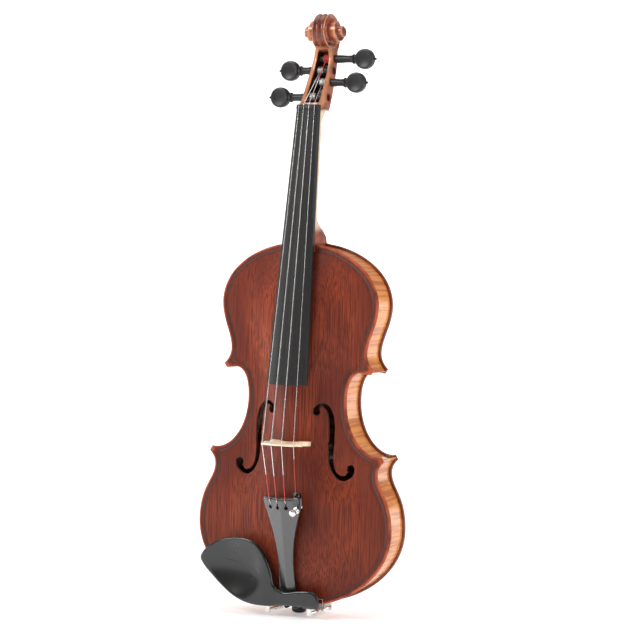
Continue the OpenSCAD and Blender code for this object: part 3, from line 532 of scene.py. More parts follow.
PATHS = {first: path_of(first) for first in CURVES}
half_points = np.concatenate([PATHS[k][0] for k in CURVES])
half_stages = np.concatenate([PATHS[k][1] for k in CURVES])
keep = (half_stages < 9) | (half_points[:, 0] > BUTTON_HW + 2.5)
button_turn = np.radians(np.arange(0, 91, 7.5))
button_arc = np.column_stack([BUTTON_HW * np.cos(button_turn),
                              BODY_L + BUTTON_L + BUTTON_HW * (np.sin(button_turn) - 1)])
button_neck = [(BUTTON_HW + 1.2, BODY_L - 0.2), (BUTTON_HW + 0.3, BODY_L + 0.6)]
back_points = np.concatenate([half_points[keep], button_neck, button_arc])
back_stages = np.concatenate([half_stages[keep], np.linspace(10, 11, 2 + len(button_arc))])


def rounded(pairs, blur):
    """A table of pairs read as a smooth curve."""
    at = np.arange(pairs[0][0] - 40, pairs[-1][0] + 40, 0.5)
    values = read(pairs, at)
    reach = np.arange(-3 * blur, 3 * blur + 0.25, 0.5)
    weight = np.exp(-(reach / blur) ** 2 / 2)
    soft = np.convolve(values, weight / weight.sum(), "same")
    return lambda y: np.interp(y, at, soft)


arch_width = rounded([(-9, 1), (6, 8), (12, 42), (25, 66), (50, 86), (78, 93), (105, 87),
                      (135, 58), (165, 46), (195, 42), (225, 43), (245, 52), (270, 64),
                      (296, 74), (320, 66), (338, 44), (350, 8), (370, 1)], 4)
arch_line = rounded([(-9, 0), (6, 0), (20, 0.24), (45, 0.63), (80, 0.87), (130, 0.98),
                     (178, 1), (230, 0.97), (275, 0.85), (310, 0.6), (335, 0.28), (350, 0),
                     (370, 0)], 6)


def arch(x, y):
    """Share of the full rise at any place on a plate."""
    q = np.clip(np.abs(x) / np.maximum(1, arch_width(y)), 0, 1)
    return arch_line(y) * (1 + np.cos(math.pi * q)) / 2


def loop_distance(xy, loop):
    """How far each place is from a closed line."""
    way = np.roll(loop, -1, axis=0) - loop
    length = np.maximum((way ** 2).sum(1), 1e-12)
    out = []
    for part in np.array_split(np.asarray(xy, float), max(1, len(xy) // 2000)):
        rel = part[:, None, :] - loop[None]
        t = np.clip((rel * way).sum(2) / length, 0, 1)
        out.append(np.sqrt(((rel - t[..., None] * way) ** 2).sum(2)).min(1))
    return np.concatenate(out)


def edge_distance(xy, outline=half_points):
    """How far each place is from the plate's edge."""
    return loop_distance(xy, np.concatenate([outline, outline[::-1] * [-1, 1]]))


def fall(d, r):
    """Drop of a face at the distance d from an edge rounded over to the radius r."""
    return r - np.sqrt(np.maximum(0, r ** 2 - np.maximum(0, r - d) ** 2))


def surface(x, y, d, rise):
    """Height of a plate's outer face over its inner rim, edge rounding and gutter included."""
    lip = fall(d, EDGE_ROUND)
    gutter = 0.62 * np.exp(-((d - 6.0) / 2.3) ** 2)
    return EDGE_T - lip - gutter + rise * arch(x, y)


NEAR = [0, 0.3, 0.75, 1.3, 2.0, 3.0, 4.1, 5.3, 6.6, 8.4, 11]


def plate(name, outline, stages, base, up, rise, finish):
    """An arched plate 3 mm thick, its rim rounded, skinned from its edge to its middle."""
    n = len(outline)
    spine = np.column_stack([np.zeros(n), read(SPINE, stages)])
    reach = np.linalg.norm(spine - outline, axis=1)
    inner = np.linspace(0, 1, 16)[1:] ** 0.9
    rows = [outline + (spine - outline) * (near / reach)[:, None] for near in NEAR]
    start = rows[-1]
    rows += [start + (spine - start) * share for share in inner]
    right = np.stack(rows, axis=1)
    left = right[:, ::-1][:, 1:] * [-1, 1]
    flat = np.concatenate([right, left], axis=1)
    count = flat.shape[1]
    x, y = flat[..., 0].ravel(), flat[..., 1].ravel()
    d = edge_distance(np.column_stack([x, y]), outline)
    high = surface(x, y, d, rise)
    h = rise * arch(x, y) * np.clip((d - 5) / 6, 0, 1)
    low = np.minimum(h + np.minimum(1, h) + fall(d, 1.2), high - 0.8)
    outer = np.column_stack([x, y, base + up * high])
    inside = np.column_stack([x, y, base + up * low])
    faces = []
    for k in range(n - 1):
        for i in range(count - 1):
            a, b = k * count + i, (k + 1) * count + i
            faces.append((a, b, b + 1, a + 1))
            faces.append((n * count + a, n * count + a + 1, n * count + b + 1, n * count + b))
        for i in (0, count - 1):
            a, b = k * count + i, (k + 1) * count + i
            faces.append((a, n * count + a, n * count + b, b))
    return solid(name, [(np.concatenate([outer, inside]), faces)], finish, 40)


def f_outline():
    """Edge of the treble f-hole: two round eyes, a curved stem with nicks, and wings."""
    upper, lower, upper_r, lower_r = (24, 192.2), (60.2, 138.2), 3.7, 4.3

    def eye(centre, r, start, stop):
        turn = np.radians(np.linspace(start, stop, 22))
        return np.column_stack([centre[0] + r * np.cos(turn), centre[1] + r * np.sin(turn)])

    outer = flow([(20.35, 193.2), (21.4, 196.6), (24.8, 199.5), (29.2, 200.8), (34.5, 199.2),
                  (38.7, 194.2), (41.5, 186.7), (42.5, 177.5), (42.4, 168.2), (42.2, 158.9),
                  (42.1, 147.8), (43.1, 140.5), (45.8, 134.6), (50.6, 131.4), (54.3, 131.9),
                  (57, 135.4)], 5)
    inner = flow([(64.4, 137.2), (63.8, 134.0), (61.2, 130.4), (55.7, 126.9), (50.1, 126.6),
                  (44.3, 130.2), (39.7, 137.3), (37.2, 144.8), (36.2, 158.7), (36.2, 168),
                  (35.8, 177.2), (35.1, 186.5), (34.1, 190.9), (31.8, 195.2), (28.8, 197.1),
                  (26.5, 195.1)], 5)
    return np.concatenate([outer, eye(lower, lower_r, 219, -11)[1:-1], inner,
                           eye(upper, upper_r, 50, -194)[1:-1]])


HEEL_TOP_HW, HEEL_LOW_HW, ROOT_Y, ROOT_TOP = 16.4, 10.4, 347, 38
SADDLE_HW, SADDLE_L = 17.5, 7


def heel_root(length, gap=0):
    """The neck's root, wider at the belly, or the room for it with a gap at its sides."""
    low, top = HEEL_LOW_HW + gap, HEEL_TOP_HW + gap
    return prism([(-low, 0), (low, 0), (top, ROOT_TOP), (-top, ROOT_TOP)], ROOT_Y,
                 ROOT_Y + length, 1)


nicks = [prism([(x - 1.3 * s, 162), (x + 0.6 * s, 163.2), (x + 0.6 * s, 160.8)], 20, 60)
         for x, s in ((36.3, 1), (42.3, -1), (-36.3, -1), (-42.3, 1))]
f_flat = f_outline()
belly = plate("belly", half_points, half_stages, RIB_H, 1, BELLY_RISE, BELLY)
carve(belly, [prism(f_flat, 20, 60), prism(f_flat * [-1, 1], 20, 60)], CUT)
carve(belly, nicks, CUT)
carve(belly, [heel_root(20, 0.05),
              box((-SADDLE_HW - 0.05, -2, 20), (SADDLE_HW + 0.05, SADDLE_L + 0.05, 50))], BELLY)
note(belly, "edge", edge_distance(spots(belly.data)[:, :2]))
fit(belly, "varnish_plate", "top_plate")
back = plate("back", back_points, back_stages, 0, -1, BACK_RISE, BACK)
note(back, "edge", edge_distance(spots(back.data)[:, :2], back_points))
fit(back, "varnish_plate", "back_plate")

PURFLING_D, PURFLING_HW = 4.72, 0.57


def inset(path, d):
    """A path moved square to itself, towards the plate's middle."""
    way = np.gradient(path, axis=0)
    way /= np.linalg.norm(way, axis=1)[:, None]
    return path + d * np.column_stack([-way[:, 1], way[:, 0]])


def purfling(name, base, up, rise, node):
    """The inlaid strips, a hair proud of the plate, mitred at the corners."""
    line = np.concatenate([inset(PATHS[k][0], PURFLING_D) for k in CURVES])
    line = line[(edge_distance(line) > PURFLING_D - 0.03) & (line[:, 0] > 0)]
    loop = np.concatenate([line, line[::-1] * [-1, 1]])
    way = np.roll(loop, -1, axis=0) - np.roll(loop, 1, axis=0)
    way /= np.linalg.norm(way, axis=1)[:, None]
    side = np.column_stack([-way[:, 1], way[:, 0]])
    rings, across = [], []
    for spot, aside in zip(loop, side):
        ring = []
        for s, lift in ((-1, 0.05), (0, 0.05), (1, 0.05), (1, -0.4), (-1, -0.4)):
            p = spot + aside * s * PURFLING_HW
            z = surface(p[0], p[1], PURFLING_D + s * PURFLING_HW, rise) + lift
            ring.append((p[0], p[1], base + up * z))
            across.append(s)
        rings.append(ring)
    points, faces = loft(rings, ends=False)
    n = len(rings)
    faces += [((n - 1) * 5 + i, (n - 1) * 5 + (i + 1) % 5, (i + 1) % 5, i) for i in range(5)]
    obj = solid(name, [(points, faces)], PURFLING, 50)
    near = spots(obj.data)[:, :2]
    note(obj, "across", (edge_distance(near) - PURFLING_D) / PURFLING_HW)
    fit(obj, "purfling", node)


purfling("belly_purfling", RIB_H, 1, BELLY_RISE, "top_purfling")
purfling("back_purfling_strips", 0, -1, BACK_RISE, "back_purfling")

# ---- ribs ----
RIB_IN, RIB_T = 2.5, 1.0
for first, part in ((0, "lower"), (4, "centre"), (7, "upper")):
    path = PATHS[first][0]
    outer, inner = inset(path, RIB_IN), inset(path, RIB_IN + RIB_T)
    if first == 4:
        outer, inner = outer[5:-4], inner[5:-4]
    along = np.concatenate([[0], np.cumsum(np.linalg.norm(np.diff(outer, axis=0), axis=1))])
    for side, hand in ((1, "treble"), (-1, "bass")):
        rings, uv = [], []
        for o, i, s in zip(outer, inner, along):
            rings.append([(side * o[0], o[1], 0), (side * o[0], o[1], RIB_H),
                          (side * i[0], i[1], RIB_H), (side * i[0], i[1], 0)])
            uv += [(s * MM, 0), (s * MM, RIB_H * MM), (s * MM, RIB_H * MM), (s * MM, 0)]
        rib = solid(f"{part}_rib_{hand}", [loft(rings)], RIBS, 40, uv)
        fit(rib, "varnish_rib", f"rib_{part}_{hand}")

# ---- neck, pegbox and scroll ----
NUT_Y, NUT_W, BOARD_L, BOARD_END_W, BOARD_R = 486, 24, 268, 42.6, 42
NUT_BOARD_Z, BOARD_SLOPE, NECK_SLOPE, BOARD_SIDE = 29.8, 0.130, 0.115, 5


def sag(x, r):
    return r - np.sqrt(r * r - np.asarray(x, float) ** 2)


GLUE_Z = NUT_BOARD_Z - sag(NUT_W / 2, BOARD_R) - BOARD_SIDE


def board_hw(y):
    return (NUT_W + (BOARD_END_W - NUT_W) * (NUT_Y - y) / BOARD_L) / 2


def board_top(x, y):
    return NUT_BOARD_Z + BOARD_SLOPE * (NUT_Y - y) - sag(x, BOARD_R)


def board_under(y):
    return GLUE_Z + NECK_SLOPE * (NUT_Y - y)


NECK = np.array([(356, 16.2, 0, 4), (362, 15.4, 0, 3.6), (367.5, 14.8, 0.6, 3),
                 (370.5, 14.6, 5, 2.6), (374, 14.6, 11.5, 2.4), (379, 14.8, 17.5, 2.2),
                 (386, 15, 21, 2.2), (400, 14.9, 20.6, 2.2), (430, 13.8, 16.8, 2.2),
                 (460, 12.9, 13, 2.2), (470, 12.5, 12.2, 2.2), (476, 12.4, 9.2, 2.2),
                 (480, 12.3, 5.2, 2.3), (484, 12.3, 1.8, 2.5), (488, 12.3, -0.2, 2.8),
                 (491, 12.4, -1.3, 3)])


def neck_ring(y, hw, low, square, count=28):
    turn = np.linspace(0, math.pi, count + 1)
    top = min(board_under(y), GLUE_Z + 15) - 0.02
    x = hw * np.sign(np.cos(turn)) * np.abs(np.cos(turn)) ** (2 / square)
    z = top - (top - low) * np.sin(turn) ** (2 / square)
    return np.column_stack([x, np.full(count + 1, y), z])


neck_places = flow(NECK, 5)
neck_shape = loft([neck_ring(*row) for row in neck_places])

FRONT = [(486, 22), (493, 19.5), (499, 14.5), (514, 6.5), (526, 0), (538, -4.5), (546, -4.5),
         (552, -4), (560, -6)]
BEHIND = [(486, 0.6), (492, -2.2), (499, -5.4), (514, -11.6), (526, -16.8), (538, -20.5),
          (547, -23.2), (553, -24.3), (560, -25)]
FLOOR = [(493.4, 3.2), (499, 0), (514, -6.8), (526, -13.6), (538, -17.9), (544, -16.7)]
CHEEKS = [(486, 12.3), (500, 12.2), (520, 11.4), (538, 10.2), (548, 8.6), (556, 6.4), (560, 5.6)]
WALLS = [(486, 4.9), (500, 4.7), (540, 3.8), (560, 3.4)]


def pegbox_ring(y, open_top):
    hw, wall, front, back = (read(table, y) for table in (CHEEKS, WALLS, FRONT, BEHIND))
    floor = read(FLOOR, y) if open_top else front - 0.01
    ease = 0.7
    half = [(hw - 4.2, back), (hw - 2.2, back + 0.5), (hw - 0.7, back + 1.9), (hw, back + 4),
            (hw, front - ease), (hw - ease * 0.4, front - ease * 0.3), (hw - ease, front),
            (hw - wall + ease, front), (hw - wall + 0.2, front - 0.4), (hw - wall, front - 1.2),
            (hw - wall, floor + 1.5), (hw - wall - 1.5, floor)]
    if not open_top:
        half[9:] = [(hw - wall - 0.5, front - 0.01), (hw - wall - 1, front - 0.01),
                    (hw - wall - 1.5, front - 0.01)]
    return [(x, y, z) for x, z in half] + [(-x, y, z) for x, z in half[::-1]]


pocket_y = list(np.linspace(493.4, 544, 30))
pegbox_y = [(y, False) for y in np.linspace(486, 493, 5)] + [(y, True) for y in pocket_y]
pegbox_y += [(y, False) for y in np.linspace(547, 559, 6)]
pegbox_shape = loft([pegbox_ring(y, is_open) for y, is_open in pegbox_y])

SCROLL_AT = (563.7, -8.7)
TURNS = [(-150, 22.4), (-120, 20.9), (-90, 19.4), (0, 18.4), (90, 17.6), (180, 15.6),
         (270, 13.2), (360, 11.6), (450, 10.2), (540, 8.8), (630, 7.4), (720, 6.3), (810, 5.4),
         (900, 4.75), (1300, 4.75)]
WIDTHS = [(-150, 8.2), (-90, 7), (0, 6.3), (90, 6.8), (180, 8.5), (270, 11), (360, 13),
          (450, 15), (540, 17), (630, 18.4), (720, 19.4), (810, 20.2), (900, 20.8), (1300, 20.8)]
SCROLL_FROM, SCROLL_TO, SCROLL_STEP = -150, 900, 6
turn_radius = rounded(TURNS, 14)
turn_width = rounded(WIDTHS, 14)


def scroll_spot(phi, r, x):
    a = math.radians(phi)
    return (x, SCROLL_AT[0] + r * math.cos(a), SCROLL_AT[1] + r * math.sin(a))


def scroll_sides(side):
    """One side of the scroll: a hollowed shelf that winds up to the eye."""
    rings = []
    for phi in range(SCROLL_FROM, SCROLL_TO + 1, SCROLL_STEP):
        r0, w0 = turn_radius(phi), turn_width(phi)
        r1, w1 = turn_radius(phi + 360), turn_width(phi + 360)
        span = max(r0 - r1, 0.02)
        deep = min(1.9, span * 0.4) * min(1, (phi - SCROLL_FROM) / 120 + 0.1)
        chamfer = min(0.8, span * 0.25)
        half = [(r0, w0 - 0.3), (r0 - chamfer * 0.5, w0), (r0 - chamfer, w0 - 0.1)]
        for t in (0.3, 0.5, 0.7, 0.85, 0.95):
            half.append((r0 - chamfer + (r1 + 0.15 - r0 + chamfer) * t,
                         w0 - deep * math.sin(math.pi * min(1, 0.1 + t * 0.8))))
        half += [(r1 + 0.1, w0 - deep * 0.2), (r1, (w0 + w1) / 2), (r1, w1 - 0.3)]
        rings.append([scroll_spot(phi, r, side * w) for r, w in half])
    points, faces = loft(rings, closed=False, ends=False)
    eye = [[scroll_spot(a, r, side * w) for a in range(0, 360, SCROLL_STEP)]
           for r, w in ((4.75, 20.5), (4.5, 20.8), (3.8, 21.1), (2, 21.5), (0.001, 21.6))]
    return [(points, faces), loft(eye, ends=False)]


def scroll_crest():
    """The outer band of the first turn: two flutes with a ridge between them."""
    rings = []
    for phi in range(SCROLL_FROM, SCROLL_FROM + 361, SCROLL_STEP):
        r, w = turn_radius(phi), turn_width(phi)
        row = []
        for t in np.linspace(-1, 1, 25):
            dip = 0 if abs(t) > 0.86 else 1.5 * abs(math.sin(math.pi * t / 0.86))
            row.append(scroll_spot(phi, r - dip, t * (w - 0.3)))
        rings.append(row)
    return loft(rings, closed=False, ends=False)


scroll_shapes = scroll_sides(1) + scroll_sides(-1) + [scroll_crest()]

# Each peg's side, its place along and up, and how far out its head's middle is
PEGS = {"g": (-1, 498.7, 5.9, 40), "d": (-1, 525.8, -8, 36.5), "a": (1, 537.7, -12.5, 42),
        "e": (1, 513.8, -1.2, 38.5)}
PEG_R, PEG_TAPER, COLLAR_X = 4, 1 / 60, 15.5


def peg_radius(side_x):
    """Radius of a peg's shank, side_x millimetres towards its head from the middle."""
    return PEG_R - PEG_TAPER * (COLLAR_X - side_x)


pegbox = solid("pegbox_cut", [pegbox_shape], HEAD, 30)
carve(pegbox, [lathe([(-20, peg_radius(-20) + 0.1), (20, peg_radius(20) + 0.1)], (0, y, z),
                     (side, 0, 0)) for side, y, z, _ in PEGS.values()], HEAD, 30)
neck = solid("neck_and_head", [neck_shape, heel_root(10)] + scroll_shapes, HEAD, 30)
merge(neck, pegbox, close=True)
neck.data.shade_smooth()
neck.data.set_sharp_from_angle(angle=math.radians(32))

at = spots(neck.data)
radial = np.hypot(at[:, 1] - SCROLL_AT[0], at[:, 2] - SCROLL_AT[1])
angle = np.degrees(np.arctan2(at[:, 2] - SCROLL_AT[1], at[:, 1] - SCROLL_AT[0]))
angle = np.where(angle < -150, angle + 360, angle)
turns = np.stack([angle + 360 * k for k in range(3)])
radii, widths = turn_radius(turns), turn_width(turns)
nearest = np.abs(np.abs(at[:, 0]) - widths + 0.2) + np.abs(radial - radii)
in_scroll = (at[:, 1] > 547) & (radial < 23)
worn = np.where(in_scroll, np.clip(1 - nearest.min(0) / 1.1, 0, 1), 0)
# Painted shade is marked under each turn of the scroll, in the flutes of its crest and inside the
# pegbox.
shelf = np.min(np.where(radii > radial - 0.4, radii, 99), axis=0)
hollow = np.where(in_scroll & (radial < shelf - 0.9) & (np.abs(at[:, 0]) > 7), 0.75, 0)
crest = in_scroll & (radial > turn_radius(angle) - 2)
crest &= np.abs(at[:, 0]) < turn_width(angle) - 0.4
hollow = np.where(crest, np.clip((turn_radius(angle) - radial - 0.5) / 1.2, 0, 0.45), hollow)
pocket = (at[:, 1] > 493) & (at[:, 1] < 546) & (at[:, 2] < read(FRONT, at[:, 1]) - 0.9)
pocket &= np.abs(at[:, 0]) < read(CHEEKS, at[:, 1]) - read(WALLS, at[:, 1]) + 0.15
hollow = np.where(pocket, 1, hollow)
cheek_edge = (at[:, 1] > 488) & (at[:, 1] < 550) & ~pocket & (
    at[:, 2] > read(FRONT, at[:, 1]) - 0.75)
worn = np.where(cheek_edge, 0.6, worn)
note(neck, "hollow", hollow)
note(neck, "worn", worn)
fit(neck, "varnish_neck", "neck")

# ---- fingerboard, nut and saddle ----
board_rings = []
for y in np.concatenate([[218, 218.25, 218.8], np.linspace(219.6, 486, 34)]):
    pull = max(0, 0.8 - (y - 218)) ** 2 * 0.6
    hw = board_hw(y) - pull
    x = np.linspace(-hw, hw, 33)
    ease = 0.9 * np.clip(np.abs(x) - hw + 1, 0, 1) ** 2
    ring = list(zip(x, np.full(33, y), board_top(x, y) - ease - pull))
    under = board_under(y) + pull
    hollow_up = 2.6 * np.clip((344 - y) / 14, 0, 1)
    ring += [(hw, y, under + 0.4), (hw - 0.5, y, under)]
    ring += [(s * (hw - 4), y, under + hollow_up * (1 - s * s * 0.85)) for s in
             (1, 0.6, 0.2, -0.2, -0.6, -1)]
    ring += [(-hw + 0.5, y, under), (-hw, y, under + 0.4)]
    board_rings.append(ring)
board = solid("fingerboard_ebony", [loft(board_rings)], BOARD, 32)
fit(board, "ebony", "fingerboard")

NUT_Z, NUT_SPREAD = NUT_BOARD_Z + 0.5, 16.5
nut_rings = []
for along, drop in ((0, 0.05), (0.5, 0), (2, 0.0), (3.6, 0.5), (4.6, 1.5), (5, 2.6)):
    x = np.linspace(-NUT_W / 2, NUT_W / 2, 81)
    notch = sum(0.35 * np.exp(-((x - s * NUT_SPREAD) / 0.45) ** 2)
                for s in (-0.5, -1 / 6, 1 / 6, 0.5))
    ease = np.clip((np.abs(x) - NUT_W / 2 + 1.2) / 1.2, 0, 1) ** 2
    top = NUT_Z - sag(x, BOARD_R) + 0.35 - notch - ease - drop
    ring = list(zip(x, np.full(81, NUT_Y + along), top))
    ring += [(NUT_W / 2, NUT_Y + along, GLUE_Z), (-NUT_W / 2, NUT_Y + along, GLUE_Z)]
    nut_rings.append(ring)
fit(solid("nut_ebony", [loft(nut_rings)], EBONY, 40), "ebony", "nut")

saddle_flat = flow([(0, RIB_H), (0, BELLY_Z + 0.6), (1.3, BELLY_Z + 2.5), (3, BELLY_Z + 3),
                    (5, BELLY_Z + 2.4), (SADDLE_L, BELLY_Z + 0.5), (SADDLE_L, RIB_H)], 4)
saddle_rings = []
for x in (-SADDLE_HW, -17.2, -15, -8, 0, 8, 15, 17.2, SADDLE_HW):
    low = 1 - 0.35 * (abs(x) / SADDLE_HW) ** 4
    saddle_rings.append([(x, y, min(z, BELLY_Z + (z - BELLY_Z) * low)) for y, z in saddle_flat])
fit(solid("saddle_ebony", [loft(saddle_rings)], EBONY, 40), "ebony", "saddle")

# ---- bridge ----
BRIDGE_Y, BRIDGE_TOP, BRIDGE_SPREAD = 161, 77, 33.5


def bridge_z(x):
    return BRIDGE_TOP - sag(x, BOARD_R)


def belly_out(x, y):
    return BELLY_Z + BELLY_RISE * arch(x, y)


def bridge_edge():
    feet = [-20.5, -18, -15.5, -13, -10.5]
    left = [(x, belly_out(x, BRIDGE_Y) + 0.15) for x in feet]
    waist = [(-9.6, 49.6), (-7, 51.6), (-3.5, 53), (0, 53.4), (3.5, 53), (7, 51.6), (9.6, 49.6)]
    right = [(-x, z) for x, z in left[::-1]]
    flank = [(20.7, 48.2), (18.5, 49.8), (15.2, 51), (13.8, 54), (15.5, 57), (19.4, 58.8),
             (20.6, 61.5), (19.6, 64.6), (16.2, 66.2), (15.8, 68.6), (17, 71.5), (18.2, 73.2)]
    top = [(x, bridge_z(x)) for x in np.linspace(17.9, -17.9, 15)]
    return left + flow(waist, 3).tolist() + right + flow(flank, 3).tolist() + top + flow(
        [(-x, z) for x, z in flank[::-1]], 3).tolist()


bridge_flat = [tuple(p) for p in bridge_edge()]
bridge = solid("bridge", [prism(bridge_flat, BRIDGE_Y - 2.2, BRIDGE_Y + 2.2, 1)], BRIDGE, 30)
heart = flow([(0, 60.2), (2.4, 62.6), (4.6, 65.2), (4.4, 67.6), (2.4, 68.4), (0.4, 66.8), (0, 66),
              (-0.4, 66.8), (-2.4, 68.4), (-4.4, 67.6), (-4.6, 65.2), (-2.4, 62.6)], 4, True)
kidney = flow([(10.2, 61.4), (11.6, 63), (13.8, 63.4), (16, 61.8), (16.4, 59), (14.6, 57),
               (13.6, 59.4), (11.8, 60.6)], 4, True)
carve(bridge, [prism(hole, BRIDGE_Y - 11, BRIDGE_Y + 11, 1)
               for hole in (heart, kidney, kidney * [-1, 1])], BRIDGE, 30)
slim = bridge.modifiers.new("eased", "BEVEL")
slim.width, slim.segments, slim.limit_method = 0.0003, 2, "ANGLE"
plain_mesh(bridge)
for vertex in bridge.data.vertices:
    height = (HANGER_Z * MM - vertex.co.y) / MM
    share = np.interp(height, [45, 77], [1, 1.7 / 4.4])
    middle = (BRIDGE_Y - HANGER_Y) * MM
    vertex.co.z = middle + (vertex.co.z - middle) * share
tidy(bridge.data, 30)
fit(bridge, "bridge_wood", "bridge")

# ---- tailpiece ----
TAIL_TILT = math.atan(0.22)
TAIL_AT = (106, 63.6)


def on_tail(points):
    """Points of the tailpiece's own frame (across, along from its fret, up) in the maker's."""
    p = np.asarray(points, float).reshape(-1, 3)
    c, s = math.cos(TAIL_TILT), math.sin(TAIL_TILT)
    return np.column_stack([p[:, 0], TAIL_AT[0] + p[:, 1] * c - p[:, 2] * s,
                            TAIL_AT[1] + p[:, 1] * s + p[:, 2] * c])


def tailed(shape):
    return on_tail(shape[0]), shape[1]


def facet(x):
    return 1 - 5 / 21 * abs(x)


TAIL_PLAN = rounded([(-102, 7.6), (-99, 8.7), (-90, 8.6), (-76, 8), (-63, 8), (-52, 8.8),
                     (-41, 10.2), (-30, 12.6), (-20, 15.2), (-11, 18), (-4, 20.4), (0, 21),
                     (2.4, 19.6)], 1.5)
tail_rings = []
for v in np.concatenate([[-102, -101.7, -101, -99.5], np.linspace(-97, -1, 40),
                         [0.6, 1.6, 2.1, 2.4]]):
    round_end = 1.3 * max(0, (v - 1.1) / 1.3) ** 2 + 1.3 * max(0, (-100.4 - v) / 1.6) ** 2
    hw = TAIL_PLAN(v) - round_end * 0.6
    ease = 0.6
    x = np.concatenate([[-hw, -hw + ease * 0.3, -hw + ease], np.linspace(-hw + 2, -0.5, 7), [0],
                        np.linspace(0.5, hw - 2, 7), [hw - ease, hw - ease * 0.3, hw]])
    z = np.array([facet(q) for q in x]) - round_end
    z[[0, -1]] -= ease
    z[[1, -2]] -= ease * 0.35
    z[10] -= 0.06
    deep = -3.6 - 2.2 * min(1, max(0, (v + 80) / 60))
    ring = list(zip(x, np.full(len(x), v), z))
    ring += [(hw, v, deep + 1.2), (hw - 1.2, v, deep), (-hw + 1.2, v, deep), (-hw, v, deep + 1.2)]
    tail_rings.append(ring)
tail = solid("tailpiece_ebony", [tailed(loft(tail_rings))], LACQUER, 26)
BALL_V, TUNER_X, SCREW_V = -7.5, 15.8, -9
keyholes = [(x, BALL_V, 1.9, 0.6, -1.6) for x in (-12.5, -4, 5)]
keyholes.append((TUNER_X, SCREW_V, 2.2, 0.7, -3))
carve(tail, [tailed(lathe([(-12, r), (12, r)], (x, v, 0), (0, 0, 1), 28))
             for x, v, r, _, _ in keyholes], SHINY, 26)
carve(tail, [tailed(box((x - hw, v, -12), (x + hw, front, 12)))
             for x, v, _, hw, front in keyholes], SHINY, 26)
fit(tail, "ebony", "tailpiece")

fret_rings = []
for x in np.linspace(-19.4, 19.4, 25):
    low, end = facet(x), 0.55 * max(0, (abs(x) - 18.6) / 0.8)
    fret_rings.append([(x, v, low + w) for v, w in
                       ((-0.9, -0.3), (-0.9, 0.55 - end), (-0.5, 0.95 - end), (0.1, 1.0 - end),
                        (0.7, 0.7 - end), (0.9, 0.2 - end * 0.3), (0.9, -0.3))])
fit(solid("tailpiece_fret_bar", [tailed(loft(fret_rings))], LACQUER), "ebony", "tailpiece_fret")

# ---- end button, tailgut and its nuts ----
button = lathe([(-16, 3.4), (-1, 3.55), (0, 3.55), (0, 5.5), (0.5, 5.6), (1.1, 4.8), (2.2, 4.55),
                (3.8, 4.6), (4.5, 5.6), (4.9, 6.4), (5.6, 7.1), (7.6, 7.2), (9.4, 7.0),
                (10.6, 6.2), (11.4, 4.4), (11.8, 2.2), (11.9, 1.1), (11.6, 0.9), (11.6, 0)],
               (0, 2.5, 15.5), (0, -1, 0), 56)
fit(solid("end_button_ebony", [button], EBONY, 30), "ebony", "end_button")
gut_side = [(4, 12, 38.5), (4, 7, 38.9), (4, 3, 39.3), (4.2, 0.4, 38.6), (4.4, -1.4, 36.6),
            (4.8, -1.6, 32), (5.5, -1, 24), (5.9, -0.1, 18)]
gut_round = [(5.9 * math.cos(a), -0.1, 15.5 - 5.9 * math.sin(a))
             for a in np.linspace(0, math.pi, 10)]
gut = tube(flow(gut_side + gut_round + [(-x, y, z) for x, y, z in gut_side[::-1]], 4), 1.1, 14)
fit(solid("tailgut_loop", [gut], POLYMER, 60), "gut_polymer", "tailgut")
nuts = [lathe([(0, 1.3), (0.2, 1.7), (0.6, 1.9), (2.6, 1.9), (3.0, 1.7), (3.2, 1.2)],
              (side * 4, 15.4, 38.5), (0, -1, 0), 28) for side in (-1, 1)]
fit(solid("tailgut_brass_nuts", nuts, BRASS, 30), "brass", "tailgut_nuts")

# ---- pegs ----
dish = [(0, 0), (0, 3.0), (3.5, 3.15), (6.5, 3.7), (8.2, 4.15), (9.2, 3.9), (9.8, 2.9), (10, 1.2),
        (10, 0)]
for key, (side, y, z, head_x) in PEGS.items():
    inner = -9.4 if key in "gd" else -9.0
    shank = [(inner, 0), (inner, peg_radius(inner) - 0.3), (inner + 0.4, peg_radius(inner)),
             (12, peg_radius(12)), (16, 3.95)]
    shank += [(head_x - back, r) for back, r in
              ((20, 3.6), (17, 3.45), (13.8, 3.7), (12.8, 4.0), (12.5, 4.7), (11.8, 5.0),
               (11.1, 4.7), (10.8, 3.9), (9.8, 3.6), (8.5, 4.0), (6, 3.4), (5, 0))]
    thumb = [(w, r) for r, w in dish] + [(-w, r) for r, w in dish[-2::-1]]
    pip = [(9.4, 1.7), (10.0, 1.9), (10.4, 1.6), (10.7, 1.0), (11.3, 1.25), (12.0, 1.1),
           (12.5, 0.5), (12.6, 0)]
    shapes = [lathe(shank, (0, y, z), (side, 0, 0), 40),
              lathe(thumb, (side * head_x, y, z), (0, 0, 1), 56),
              lathe(pip, (side * head_x, y, z), (side, 0, 0), 24)]
    fit(solid(f"peg_{key}_ebony", shapes, EBONY, 28), "ebony", f"peg_{key}", body=f"peg_{key}")

# ---- strings ----
WINDING_R, WINDING_HW = 4.6, 3
STRINGS = {"g": (0.42, -12.5, -0.5), "d": (0.42, -4, -1 / 6), "a": (0.36, 5, 1 / 6),
           "e": (0.24, 15.8, 0.5)}
A_SILK_FROM = 517
SILK_ENDS = {"g": (107, 130), "d": (107, 129), "a": (107, 131), "e": (113, 147)}
hook_at = on_tail([(TUNER_X, 8.6, -1.6)])[0] + [0, 1.2, 0.3]


def metres_up(y):
    return (y - HANGER_Y) * MM


